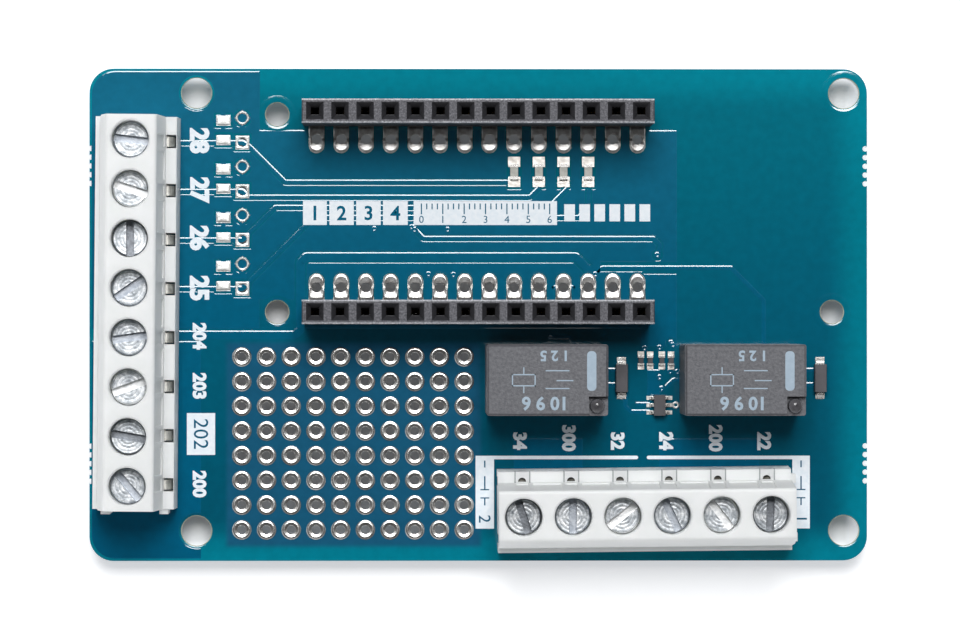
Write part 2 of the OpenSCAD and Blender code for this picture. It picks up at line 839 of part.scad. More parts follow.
module relay_1() { at_relay(0) relay_can(); }
module relay_2() { at_relay(1) relay_can(); }
module relay_1_pins() { at_relay(0) relay_pins(); }
module relay_2_pins() { at_relay(1) relay_pins(); }

// ---------- small parts ----------

module at_diodes() {
    for (i = [0, 1])
        at_relay(i) translate([relay_l / 2 + diode_insets[i], diode_y, 0]) children();
}

module at_filter_chips() {
    for (i = [0:3]) translate([filter_x + i * grid, filter_y, 0]) children();
}

module at_driver_chips() {
    at_relay(1)
        for (inset = driver_insets)
            translate([-relay_l / 2 - inset, driver_chip_y, 0]) children();
}

module at_transistor() {
    at_relay(1) translate([transistor_at.x, transistor_at.y, 0]) children();
}

module at_transistor_leads() {
    for (side = [0, 180], y = [-1, 0, 1])
        rotate([0, 0, side])
            translate([transistor_body[0] / 2 - 0.1, y * transistor_lead_pitch, 0]) children();
}

module diode_body() {
    taper = 0.08;
    translate([0, 0, pad_top + 0.05])
        rotate([0, 0, 90])
            profile_along_x(diode[1], [
                [-diode[2] / 2 + taper, 0], [diode[2] / 2 - taper, 0], [diode[2] / 2, diode[3] / 2],
                [diode[2] / 2 - taper, diode[3]], [-diode[2] / 2 + taper, diode[3]],
                [-diode[2] / 2, diode[3] / 2]
            ]);
}

// A flat lead leaves each end of the body and steps down to its pad
module diode_lead() {
    w = 0.75;
    t = 0.2;
    inner = diode[1] / 2 - 0.3;
    outer = diode[0] / 2;
    knee = diode[1] / 2 + 0.2;
    profile_along_x(w, [
        [inner, pad_top + 0.55], [knee, pad_top + 0.55], [knee + 0.1, pad_top + t],
        [outer, pad_top + t], [outer, pad_top], [knee - t, pad_top],
        [knee - t, pad_top + 0.55 - t], [inner, pad_top + 0.55 - t]
    ]);
}

module diode_leads() {
    color("#c4c6c8") at_diodes() for (side = [0, 180]) rotate([0, 0, side]) diode_lead();
}

module diode_bodies() {
    color("#4c4a4c")
        difference() {
            at_diodes() diode_body();
            diode_leads();
        }
}

module filter_chips() { color("#a9a9a4") at_filter_chips() chip_body(filter_chip); }
module filter_chip_ends() { color("#d6d6d2") at_filter_chips() chip_ends(filter_chip); }
module driver_chips() { color("#45423f") at_driver_chips() chip_body(driver_chip); }
module driver_chip_ends() { color("#d6d6d2") at_driver_chips() chip_ends(driver_chip); }

module driver_transistor_leads() {
    t = 0.15;
    w = 0.26;
    reach = (transistor_span - transistor_body[0]) / 2 + 0.1;
    color("#c4c6c8")
        at_transistor() at_transistor_leads()
            profile_along_y(w, [
                [-0.1, pad_top + 0.5], [0.3, pad_top + 0.5], [0.4, pad_top + t], [reach, pad_top + t],
                [reach, pad_top], [0.25, pad_top], [0.15, pad_top + 0.5 - t], [-0.1, pad_top + 0.5 - t]
            ]);
}

module driver_transistors() {
    color("#4a4645")
        difference() {
            at_transistor()
                translate([0, 0, pad_top + 0.05 + transistor_body[2] / 2])
                    cube(transistor_body, center = true);
            driver_transistor_leads();
        }
}

circuit_board();
proto_pads();
socket_pads();
divider_pads();
surface_pads();
solder_joints();
upper_socket_strip();
lower_socket_strip();
upper_socket_contacts();
lower_socket_contacts();
input_block_housing();
output_block_housing();
input_contact_strips();
output_contact_strips();
input_screw(0);  // input_screw_1
input_screw(1);  // input_screw_2
input_screw(2);  // input_screw_3
input_screw(3);  // input_screw_4
input_screw(4);  // input_screw_5
input_screw(5);  // input_screw_6
input_screw(6);  // input_screw_7
input_screw(7);  // input_screw_8
output_screw(0);  // output_screw_1
output_screw(1);  // output_screw_2
output_screw(2);  // output_screw_3
output_screw(3);  // output_screw_4
output_screw(4);  // output_screw_5
output_screw(5);  // output_screw_6
input_cage(0);  // input_cage_1
input_cage(1);  // input_cage_2
input_cage(2);  // input_cage_3
input_cage(3);  // input_cage_4
input_cage(4);  // input_cage_5
input_cage(5);  // input_cage_6
input_cage(6);  // input_cage_7
input_cage(7);  // input_cage_8
output_cage(0);  // output_cage_1
output_cage(1);  // output_cage_2
output_cage(2);  // output_cage_3
output_cage(3);  // output_cage_4
output_cage(4);  // output_cage_5
output_cage(5);  // output_cage_6
relay_1();
relay_2();
relay_1_pins();
relay_2_pins();
diode_bodies();
diode_leads();
filter_chips();
filter_chip_ends();
driver_chips();
driver_chip_ends();
driver_transistors();
driver_transistor_leads();
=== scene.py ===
"""Relay module board: copper relief, print, solder and finishes, with its light and camera."""
import math
import random

import bmesh
import bpy
from mathutils import Matrix, Vector


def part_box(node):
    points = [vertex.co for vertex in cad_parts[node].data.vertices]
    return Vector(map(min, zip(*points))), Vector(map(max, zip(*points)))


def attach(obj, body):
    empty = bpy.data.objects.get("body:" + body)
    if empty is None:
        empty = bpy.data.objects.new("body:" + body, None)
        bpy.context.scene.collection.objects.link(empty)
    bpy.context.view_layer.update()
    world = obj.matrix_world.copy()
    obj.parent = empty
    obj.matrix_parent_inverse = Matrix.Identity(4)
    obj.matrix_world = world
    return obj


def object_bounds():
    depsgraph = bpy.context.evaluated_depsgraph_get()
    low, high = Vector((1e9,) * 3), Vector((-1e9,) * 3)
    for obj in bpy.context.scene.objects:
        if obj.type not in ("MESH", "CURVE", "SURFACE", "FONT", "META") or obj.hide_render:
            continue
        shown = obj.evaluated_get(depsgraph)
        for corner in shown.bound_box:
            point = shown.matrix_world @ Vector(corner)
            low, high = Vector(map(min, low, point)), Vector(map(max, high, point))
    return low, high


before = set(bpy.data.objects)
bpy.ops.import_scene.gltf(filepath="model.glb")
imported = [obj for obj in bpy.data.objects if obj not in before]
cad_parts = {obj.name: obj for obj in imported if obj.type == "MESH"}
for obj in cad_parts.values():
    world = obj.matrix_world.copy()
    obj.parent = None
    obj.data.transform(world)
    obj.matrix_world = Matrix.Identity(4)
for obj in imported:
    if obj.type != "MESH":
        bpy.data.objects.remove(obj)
cad_bounds = [[float(v) for v in corner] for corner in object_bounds()]

MM = 0.001
BODY = "board_assembly"
scene = bpy.context.scene
scene.view_settings.view_transform = "Standard"


def box_mm(node_name):
    """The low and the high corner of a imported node."""
    return [Vector(corner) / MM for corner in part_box(node_name)]


_, board_high = box_mm("circuit_board")
BOARD_TOP = board_high.z


# ---------- small helpers ----------

def srgb(text):
    """One colour written as sRGB hex, as linear RGBA."""
    parts = [int(text[i:i + 2], 16) / 255 for i in (1, 3, 5)]
    return tuple(c / 12.92 if c <= 0.04045 else ((c + 0.055) / 1.055) ** 2.4 for c in parts) + (1.0,)


def add(tree, kind, inputs=None, stops=None, **settings):
    """Adds one node: its settings, its colour stops, and a value, socket or node for each input."""
    made = tree.nodes.new(kind)
    for key, value in settings.items():
        setattr(made, key, value)
    if stops:
        elements = made.color_ramp.elements
        while len(elements) < len(stops):
            elements.new(0.5)
        for element, (place, colour) in zip(elements, stops):
            element.position = place
            element.color = srgb(colour) if isinstance(colour, str) else (colour,) * 3 + (1.0,)
    for key, value in (inputs or {}).items():
        if isinstance(value, bpy.types.Node):
            value = value.outputs[0]
        if isinstance(value, bpy.types.NodeSocket):
            tree.links.new(value, made.inputs[key])
        else:
            made.inputs[key].default_value = value
    return made


def place_in_mm(tree):
    """The object's own coordinates in millimetres."""
    place = add(tree, "ShaderNodeTexCoord").outputs["Object"]
    return add(tree, "ShaderNodeVectorMath", {0: place, "Scale": 1 / MM}, operation="SCALE")


def start_material(name, **shader_values):
    """A material with its shader, and the object's own coordinates in millimetres."""
    made = bpy.data.materials.new(name)
    made.use_nodes = True
    tree = made.node_tree
    tree.nodes.clear()
    shader = add(tree, "ShaderNodeBsdfPrincipled", shader_values)
    add(tree, "ShaderNodeOutputMaterial", {"Surface": shader})
    return made, tree, shader, place_in_mm(tree)


def wear(tree, shader, colour, relief):
    """Joins a finish's colour and its surface relief to the shader."""
    tree.links.new(colour.outputs[0], shader.inputs["Base Color"])
    tree.links.new(relief.outputs[0], shader.inputs["Normal"])


def overpaint(made, cover, colour):
    """Lays one colour over a finish, where cover is 1."""
    tree = made.node_tree
    shader = next(node for node in tree.nodes if node.type == "BSDF_PRINCIPLED")
    under = shader.inputs["Base Color"].links[0].from_socket
    both = add(tree, "ShaderNodeMixRGB", {0: cover, 1: under, 2: srgb(colour)})
    tree.links.new(both.outputs[0], shader.inputs["Base Color"])


def piece(name, mesh, finish):
    """Links a finished mesh as one piece that rides on the board."""
    mesh.materials.clear()
    mesh.materials.append(finish)
    for polygon in mesh.polygons:
        polygon.material_index = 0
    made = bpy.data.objects.new(name, mesh)
    scene.collection.objects.link(made)
    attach(made, BODY)
    return made


def mesh_from(name, corners, faces=(), edges=()):
    """A mesh from corners in millimetres."""
    mesh = bpy.data.meshes.new(name)
    mesh.from_pydata([tuple(c * MM for c in corner) for corner in corners], edges, faces)
    mesh.update()
    return mesh


def join(name, parts):
    """One mesh from several (corners, faces) lists."""
    corners, faces = [], []
    for part_corners, part_faces in parts:
        first = len(corners)
        corners += part_corners
        faces += [[first + i for i in face] for face in part_faces]
    return mesh_from(name, corners, faces)


def grown(name, mesh, tree, **values):
    """Runs a node tree on a base mesh and keeps the plain mesh that it makes."""
    base = bpy.data.objects.new(name, mesh)
    scene.collection.objects.link(base)
    modifier = base.modifiers.new("grow", "NODES")
    modifier.node_group = tree
    for item in tree.interface.items_tree:
        if item.in_out == "INPUT" and item.name in values:
            modifier[item.identifier] = values[item.name]
    made = bpy.data.meshes.new_from_object(base.evaluated_get(bpy.context.evaluated_depsgraph_get()))
    bpy.data.objects.remove(base)
    made.name = name
    return made


# ---------- camera, light and floor ----------

EYE = Vector((-7.1, -0.5, 468.5)) * MM
AIM = Vector((0.13, -0.07, 3.5)) * MM
back = (EYE - AIM).normalized()
right = Vector((0, 1, 0)).cross(back).normalized()
lens = bpy.data.cameras.new("camera")
lens.sensor_width = 36.0
lens.lens = 169.5
lens.clip_start = 0.01
camera = bpy.data.objects.new("camera", lens)
camera.matrix_world = Matrix.Translation(EYE) @ Matrix((right, back.cross(right), back)).transposed().to_4x4()
scene.collection.objects.link(camera)
scene.camera = camera

# One soft box high on the board's far side, and a dim room that is darkest overhead
# and brightest low on the near side, where a pale wall sends light back
KEY_ELEVATION = math.radians(65)
KEY_DISTANCE = 1.0
KEY_SIZE = 0.5
KEY_POWER = 9.3
key = bpy.data.lights.new("soft_box", "AREA")
key.shape = "RECTANGLE"
key.size = KEY_SIZE
key.size_y = KEY_SIZE
key.energy = KEY_POWER
key_object = bpy.data.objects.new("soft_box", key)
key_object.location = (0, KEY_DISTANCE * math.cos(KEY_ELEVATION), KEY_DISTANCE * math.sin(KEY_ELEVATION))
key_object.rotation_euler = (-key_object.location).to_track_quat("-Z", "Y").to_euler()
scene.collection.objects.link(key_object)

ROOM_OVERHEAD = 0.015
ROOM_LEVEL = 0.45
NEAR_WALL = 1.45
room = bpy.data.worlds.new("room")
room.use_nodes = True
room.node_tree.nodes.clear()
way = add(room.node_tree, "ShaderNodeTexCoord").outputs["Generated"]
height = add(room.node_tree, "ShaderNodeSeparateXYZ", {0: way}).outputs["Z"]
level = add(room.node_tree, "ShaderNodeMapRange",
            {"Value": height, "From Min": 0.0, "From Max": 1.0, "To Min": ROOM_LEVEL, "To Max": ROOM_OVERHEAD})
towards = add(room.node_tree, "ShaderNodeVectorMath", {0: way, 1: (-0.5, -0.87, 0.0)}, operation="DOT_PRODUCT")
near_side = add(room.node_tree, "ShaderNodeMath", {0: towards.outputs["Value"], 1: 0.0}, operation="MAXIMUM")
lowness = add(room.node_tree, "ShaderNodeMapRange",
              {"Value": height, "From Min": 0.0, "From Max": 0.6, "To Min": NEAR_WALL, "To Max": 0.0})
near_wall = add(room.node_tree, "ShaderNodeMath", {0: near_side, 1: lowness, 2: level}, operation="MULTIPLY_ADD")
glow = add(room.node_tree, "ShaderNodeBackground", {"Color": srgb("#fcfdff"), "Strength": near_wall})
add(room.node_tree, "ShaderNodeOutputWorld", {"Surface": glow})
scene.world = room

# The floor is matt white paper; what the camera sees of it is lifted to white and keeps its shadow,
# and the part that lies under the board is lifted less, a painted shade seen through the board's holes
FLOOR_LIFT = 0.52
UNDER_LIFT = 0.06
floor_paper = bpy.data.materials.new("white_paper")
floor_paper.use_nodes = True
tree = floor_paper.node_tree
tree.nodes.clear()
paper = add(tree, "ShaderNodeBsdfDiffuse", {"Color": srgb("#e6e7e8")})
ray = add(tree, "ShaderNodeLightPath")
seen = add(tree, "ShaderNodeMath", {0: ray.outputs["Is Camera Ray"], 1: ray.outputs["Is Glossy Ray"]},
           operation="MAXIMUM")
seen = add(tree, "ShaderNodeMath", {0: seen, 1: ray.outputs["Is Transmission Ray"]}, operation="MAXIMUM")
spot = add(tree, "ShaderNodeSeparateXYZ", {0: add(tree, "ShaderNodeTexCoord").outputs["Object"]})
past_edge = []
for axis, half in (("X", board_high.x), ("Y", board_high.y)):
    aside = add(tree, "ShaderNodeMath", {0: spot.outputs[axis]}, operation="ABSOLUTE")
    past_edge.append(add(tree, "ShaderNodeMath", {0: aside, 1: half * MM}, operation="SUBTRACT"))
outside = add(tree, "ShaderNodeMath", {0: past_edge[0], 1: past_edge[1]}, operation="MAXIMUM")
# painted shade: inside the board's outline the floor is lifted only by UNDER_LIFT
open_lift = add(tree, "ShaderNodeMapRange",
                {"Value": outside, "From Min": -0.002, "From Max": -0.0005, "To Min": UNDER_LIFT,
                 "To Max": FLOOR_LIFT})
lift = add(tree, "ShaderNodeMath", {0: seen, 1: open_lift}, operation="MULTIPLY")
lifted = add(tree, "ShaderNodeEmission", {"Color": srgb("#fafbff"), "Strength": lift})
both = add(tree, "ShaderNodeAddShader", {0: paper, 1: lifted})
add(tree, "ShaderNodeOutputMaterial", {"Surface": both})
reach = 2500
floor_z = cad_bounds[0][2] / MM - 0.01
floor = bpy.data.objects.new("floor", mesh_from(
    "floor", [(-reach, -reach, floor_z), (reach, -reach, floor_z), (reach, reach, floor_z), (-reach, reach, floor_z)],
    [(0, 1, 2, 3)]))
floor.data.materials.append(floor_paper)
scene.collection.objects.link(floor)


# ---------- finishes ----------

def mask_finish(name, low, middle, high, rims=None):
    """Liquid solder mask, cured: a glossy, slightly wavy teal film over copper or bare laminate."""
    made, tree, shader, place = start_material(
        name, Roughness=0.07, IOR=1.55, **{"Coat Weight": 1.0, "Coat Roughness": 0.05, "Coat IOR": 1.55})
    split = add(tree, "ShaderNodeSeparateXYZ", {0: place})
    # the film's colour is painted lighter towards +Y, the soft box's side: painted light
    along_y = add(tree, "ShaderNodeMapRange",
                  {"Value": split.outputs["Y"], "From Min": -20.0, "From Max": 20.0})
    colour = add(tree, "ShaderNodeValToRGB", {0: along_y}, stops=[(0.0, low), (0.5, middle), (1.0, high)])
    if rims:
        # light that enters the laminate's cut edge makes its outer 5 mm paler
        rim = add(tree, "ShaderNodeValToRGB", {0: along_y}, stops=[(0.0, rims[0]), (0.8, rims[1]), (1.0, rims[2])])
        from_side = []
        for axis, half in (("X", board_high.x), ("Y", board_high.y)):
            aside = add(tree, "ShaderNodeMath", {0: split.outputs[axis]}, operation="ABSOLUTE")
            from_side.append(add(tree, "ShaderNodeMath", {0: half, 1: aside}, operation="SUBTRACT"))
        nearest = add(tree, "ShaderNodeMath", {0: from_side[0], 1: from_side[1]}, operation="MINIMUM")
        near_rim = add(tree, "ShaderNodeMapRange",
                       {"Value": nearest, "From Min": 0.0, "From Max": 5.0, "To Min": 1.0, "To Max": 0.0},
                       interpolation_type="SMOOTHERSTEP")
        colour = add(tree, "ShaderNodeMixRGB", {0: near_rim, 1: colour, 2: rim})
        # copper on the far face shows through, bluish, under the field of holes
        field = None
        for axis, start, end in (("X", -25.9, 0.2), ("Y", -23.8, -2.9)):
            for edge, sign in ((start, 1.0), (end, -1.0)):
                inside = add(tree, "ShaderNodeMapRange",
                             {"Value": split.outputs[axis], "From Min": edge - sign * 0.35,
                              "From Max": edge + sign * 0.35}, interpolation_type="SMOOTHSTEP")
                field = inside if field is None else add(
                    tree, "ShaderNodeMath", {0: field, 1: inside}, operation="MULTIPLY")
        colour = add(tree, "ShaderNodeMixRGB", {0: field, 1: colour, 2: srgb("#195a7a")})
    # the glass cloth under the film shows as a faint mottle, drawn 0.9 mm across since its 0.45 mm threads
    # are too fine to show; the film itself waves over 1.1 mm and has a 0.11 mm grain
    mottle = add(tree, "ShaderNodeTexNoise", {"Vector": place, "Scale": 1.1, "Detail": 3.0})
    shade = add(tree, "ShaderNodeMapRange",
                {"Value": mottle.outputs["Fac"], "From Min": 0.3, "From Max": 0.7, "To Min": 0.94, "To Max": 1.06})
    shaded = add(tree, "ShaderNodeVectorMath", {0: colour, "Scale": shade}, operation="SCALE")
    wave = add(tree, "ShaderNodeTexNoise", {"Vector": place, "Scale": 0.9, "Detail": 1.0})
    grain = add(tree, "ShaderNodeTexNoise", {"Vector": place, "Scale": 9.0, "Detail": 2.0})
    relief = add(tree, "ShaderNodeMath", {0: grain, 1: 0.02, 2: wave}, operation="MULTIPLY_ADD")
    bump = add(tree, "ShaderNodeBump", {"Height": relief, "Strength": 1.0, "Distance": 0.000012})
    tree.links.new(bump.outputs[0], shader.inputs["Normal"])
    return made, tree, shader, place, shaded


mask_on_copper, tree, shader, place, shaded = mask_finish("solder_mask_on_copper", "#005b7c", "#02607f", "#146a88")
tree.links.new(shaded.outputs[0], shader.inputs["Base Color"])

# The board itself: mask on its faces, and raw glass-epoxy, pale and streaked along its 0.07 mm layers of
# cloth, in its cut edges and unplated holes
board_finish, tree, shader, place, shaded = mask_finish(
    "solder_mask_on_laminate", "#01556c", "#015f78", "#016f83", rims=("#007f94", "#007b8e", "#00869a"))
facing = add(tree, "ShaderNodeSeparateXYZ", {0: add(tree, "ShaderNodeTexCoord").outputs["Normal"]})
upright = add(tree, "ShaderNodeMath", {0: facing.outputs["Z"]}, operation="ABSOLUTE")
is_face = add(tree, "ShaderNodeMath", {0: upright, 1: 0.7}, operation="GREATER_THAN")
layers = add(tree, "ShaderNodeTexNoise",
             {"Vector": add(tree, "ShaderNodeVectorMath", {0: place, 1: (1.5, 1.5, 14.0)}, operation="MULTIPLY"),
              "Scale": 1.0, "Detail": 2.0})
laminate = add(tree, "ShaderNodeValToRGB", {0: layers}, stops=[(0.3, "#b9b99a"), (0.7, "#d9dac2")])
whole = add(tree, "ShaderNodeMixRGB", {0: is_face, 1: laminate, 2: shaded})
tree.links.new(whole.outputs[0], shader.inputs["Base Color"])


def metal_finish(name, dark, light, roughness, grain_mm, depth_mm, patch_mm=0.6):
    """A metal with fine surface grain and slow changes of tone, their sizes in millimetres."""
    made, tree, shader, place = start_material(name, Metallic=1.0, Roughness=roughness)
    tone = add(tree, "ShaderNodeTexNoise", {"Vector": place, "Scale": 1 / patch_mm, "Detail": 3.0})
    colour = add(tree, "ShaderNodeValToRGB", {0: tone}, stops=[(0.35, dark), (0.65, light)])
    grain = add(tree, "ShaderNodeTexNoise", {"Vector": place, "Scale": 1 / grain_mm, "Detail": 2.0})
    bump = add(tree, "ShaderNodeBump", {"Height": grain, "Strength": 1.0, "Distance": depth_mm * MM})
    wear(tree, shader, colour, bump)
    return made


# Solder levelled flat by hot air: frosted, so that it scatters the light and looks white
levelled_solder = metal_finish("hot_air_levelled_solder", "#cfcfcc", "#f0f0ee", 0.5, 0.18, 0.02, patch_mm=0.35)
# Hot-tinned copper: bright, a little wavy where the tin froze
tinned_copper = metal_finish("hot_tinned_copper", "#b9b4ae", "#dddad5", 0.36, 0.3, 0.015)
# Solder that froze on its own: smooth and bright, so that it mirrors the light in crisp crescents
solder = metal_finish("solder", "#cfccc8", "#f2f2f0", 0.26, 0.5, 0.006)
# Solder drawn out over a long pad cools slower, so its skin is a little more frosted
drawn_solder = metal_finish("drawn_solder", "#c9c5c1", "#f2f2f0", 0.31, 0.5, 0.004)
# Gilt phosphor bronze, stamped: a dim warm glint deep in the funnels
contact_bronze = metal_finish("gilt_phosphor_bronze", "#6d5a34", "#94804e", 0.35, 0.2, 0.01)
# Tinned brass strip: pale where it is open to the air; where a tab covers it, its colour is painted dark, a painted
# shade
dull_brass = metal_finish("dull_tinned_brass", "#bdbcb6", "#dcdbd5", 0.5, 0.2, 0.01)
# painted shade: the output strips lying under their tabs
brass_painted_shade = metal_finish("shaded_tinned_brass", "#34332f", "#4a4945", 0.4, 0.2, 0.004)
# Zinc-plated steel, folded: an even light grey seen through the wire entries
cage_steel = metal_finish("zinc_plated_steel", "#a9abad", "#c6c8c9", 0.32, 0.2, 0.01)


def plastic_finish(name, dark, light, roughness, grain_mm, depth_mm, patch_mm=2.0, **more):
    """A moulded plastic with the fine texture of its mould."""
    made, tree, shader, place = start_material(name, Roughness=roughness, IOR=1.5, **more)
    tone = add(tree, "ShaderNodeTexNoise", {"Vector": place, "Scale": 1 / patch_mm, "Detail": 4.0})
    colour = add(tree, "ShaderNodeValToRGB", {0: tone}, stops=[(0.3, dark), (0.7, light)])
    grain = add(tree, "ShaderNodeTexNoise", {"Vector": place, "Scale": 1 / grain_mm, "Detail": 3.0})
    bump = add(tree, "ShaderNodeBump", {"Height": grain, "Strength": 1.0, "Distance": depth_mm * MM})
    wear(tree, shader, colour, bump)
    return made


# Nylon, moulded: milky light grey with a satin skin, and light that wanders 2 mm through its thin walls
input_nylon, output_nylon = [
    plastic_finish("moulded_nylon_" + block, "#e9eceb", "#eff1f1", 0.45, 0.5, 0.004, **{
        "Subsurface Weight": 0.6, "Subsurface Radius": (1.0, 1.0, 0.95), "Subsurface Scale": 0.002})
    for block in ("input", "output")]

# On the output block each tab over a solder pin is cut free along both sides, 0.75 mm from the pole's
# middle; the shade in each cut is painted as a fine grey line in the low ledge behind the screws
POLE_PITCH = 5.0
tree = output_nylon.node_tree
_, block_high = box_mm("output_block_housing")
first_low, first_high = box_mm("output_screw_1")
pole_start = (first_low.x + first_high.x - POLE_PITCH) / 2
split = add(tree, "ShaderNodeSeparateXYZ", {0: place_in_mm(tree)})
along = add(tree, "ShaderNodeMath", {0: split.outputs["X"], 1: pole_start}, operation="SUBTRACT")
in_pole = add(tree, "ShaderNodeMath", {0: along, 1: POLE_PITCH}, operation="FLOORED_MODULO")
from_middle = add(tree, "ShaderNodeMath", {0: in_pole, 1: POLE_PITCH / 2}, operation="SUBTRACT")
aside = add(tree, "ShaderNodeMath", {0: from_middle}, operation="ABSOLUTE")
on_seam = add(tree, "ShaderNodeMath", {0: aside, 1: 0.75, 2: 0.06}, operation="COMPARE")
on_ledge = add(tree, "ShaderNodeMath", {0: split.outputs["Z"], 1: BOARD_TOP + 3.4, 2: 0.6}, operation="COMPARE")
past_wall = add(tree, "ShaderNodeMath", {0: split.outputs["Y"], 1: block_high.y - 1.75}, operation="GREATER_THAN")
# painted shade: the grey line stands for the shade in each cut
seam_painted_shade = add(tree, "ShaderNodeMath", {0: on_seam, 1: on_ledge}, operation="MULTIPLY")
seam_painted_shade = add(tree, "ShaderNodeMath", {0: seam_painted_shade, 1: past_wall}, operation="MULTIPLY")
overpaint(output_nylon, seam_painted_shade, "#a3a8a9")


def relay_plastic(name, low, high):
    """Spark-eroded mould texture, 0.16 mm grain, on a lid whose rounded rim is painted as a fine dark line, a painted
    shade.
    """
    made = plastic_finish(name, "#525358", "#6d6e73", 0.5, 0.16, 0.04, patch_mm=0.3)
    tree = made.node_tree
    spot = add(tree, "ShaderNodeSeparateXYZ", {0: place_in_mm(tree)})
    from_side = []
    for axis, start, end in (("X", low.x, high.x), ("Y", low.y, high.y)):
        away = add(tree, "ShaderNodeMath", {0: spot.outputs[axis], 1: (start + end) / 2}, operation="SUBTRACT")
        away = add(tree, "ShaderNodeMath", {0: away}, operation="ABSOLUTE")
        from_side.append(add(tree, "ShaderNodeMath", {0: (end - start) / 2, 1: away}, operation="SUBTRACT"))
    nearest = add(tree, "ShaderNodeMath", {0: from_side[0], 1: from_side[1]}, operation="MINIMUM")
    rim = add(tree, "ShaderNodeMapRange",
              {"Value": nearest, "From Min": 0.12, "From Max": 0.2, "To Min": 1.0, "To Max": 0.0})
    on_lid = add(tree, "ShaderNodeMath", {0: spot.outputs["Z"], 1: high.z - 0.15}, operation="GREATER_THAN")
    rim = add(tree, "ShaderNodeMath", {0: rim, 1: on_lid}, operation="MULTIPLY")
    # painted shade: a fine dark line along the lid's rounded rim
    overpaint(made, rim, "#36363a")
    return made


# Epoxy moulding compound, filled with silica: dull, brownish dark grey
moulding_compound = plastic_finish("epoxy_moulding_compound", "#4a484b", "#57555a", 0.6, 0.1, 0.015)
# Fired ceramic: pale and chalky
chip_ceramic = plastic_finish("fired_ceramic", "#b6b6ae", "#d0d0c8", 0.5, 0.1, 0.01, patch_mm=0.5)
# Epoxy ink, printed through a screen: flat and faintly blue, and thinner and greyer on the relays
print_ink = plastic_finish("epoxy_print_ink", "#e2ecf4", "#f1f6fb", 0.6, 0.1, 0.006, patch_mm=0.5)
relay_ink = plastic_finish("relay_print_ink", "#9cafbf", "#a7b9c8", 0.6, 0.1, 0.006, patch_mm=0.5)
# Plastic melted shut: glossy, so that each vent tip holds one small highlight
sealed_plastic = plastic_finish("melted_plastic", "#3f3e41", "#57565a", 0.14, 0.5, 0.02, patch_mm=0.5)


def strip_plastic(name, low, high):
    """Glass-filled thermoplastic: near black, speckled by fibres at 0.2 mm. Its top face is painted lighter than
    its sides and funnels, painted light and shade, and its long top edges paler, partly scuffed and partly a
    painted highlight."""
    made, tree, shader, place = start_material(name, Roughness=0.55, IOR=1.5)
    speck = add(tree, "ShaderNodeTexNoise", {"Vector": place, "Scale": 5.0, "Detail": 3.0, "Roughness": 0.7})
    body = add(tree, "ShaderNodeValToRGB", {0: speck}, stops=[(0.35, "#29292d"), (0.65, "#343438")])
    face = add(tree, "ShaderNodeValToRGB", {0: speck}, stops=[(0.36, "#3a3a40"), (0.5, "#55555b"), (0.66, "#77777e")])
    edge = add(tree, "ShaderNodeValToRGB", {0: speck}, stops=[(0.34, "#7d7e85"), (0.5, "#b4b6bb"), (0.64, "#dcdee2")])
    split = add(tree, "ShaderNodeSeparateXYZ", {0: place})
    on_top = add(tree, "ShaderNodeMath", {0: split.outputs["Z"], 1: high.z - 0.04}, operation="GREATER_THAN")
    from_middle = add(tree, "ShaderNodeMath", {0: split.outputs["Y"], 1: (low.y + high.y) / 2}, operation="SUBTRACT")
    aside = add(tree, "ShaderNodeMath", {0: from_middle}, operation="ABSOLUTE")
    half = (high.y - low.y) / 2
    at_side = add(tree, "ShaderNodeMapRange",
                  {"Value": aside, "From Min": half - 0.2, "From Max": half - 0.1})
    at_top = add(tree, "ShaderNodeMapRange",
                 {"Value": split.outputs["Z"], "From Min": high.z - 0.9, "From Max": high.z - 0.2})
    scuffed_and_highlit = add(tree, "ShaderNodeMath", {0: at_side, 1: at_top}, operation="MULTIPLY")
    # painted light and shade: the top face lighter than the sides and funnels of the same plastic
    lit_top_shaded_sides = add(tree, "ShaderNodeMixRGB", {0: on_top, 1: body, 2: face})
    # the long top edges paler: partly scuffing, partly a painted highlight
    colour = add(tree, "ShaderNodeMixRGB", {0: scuffed_and_highlit, 1: lit_top_shaded_sides, 2: edge})
    bump = add(tree, "ShaderNodeBump", {"Height": speck, "Strength": 1.0, "Distance": 0.00005})
    wear(tree, shader, colour, bump)
    return made


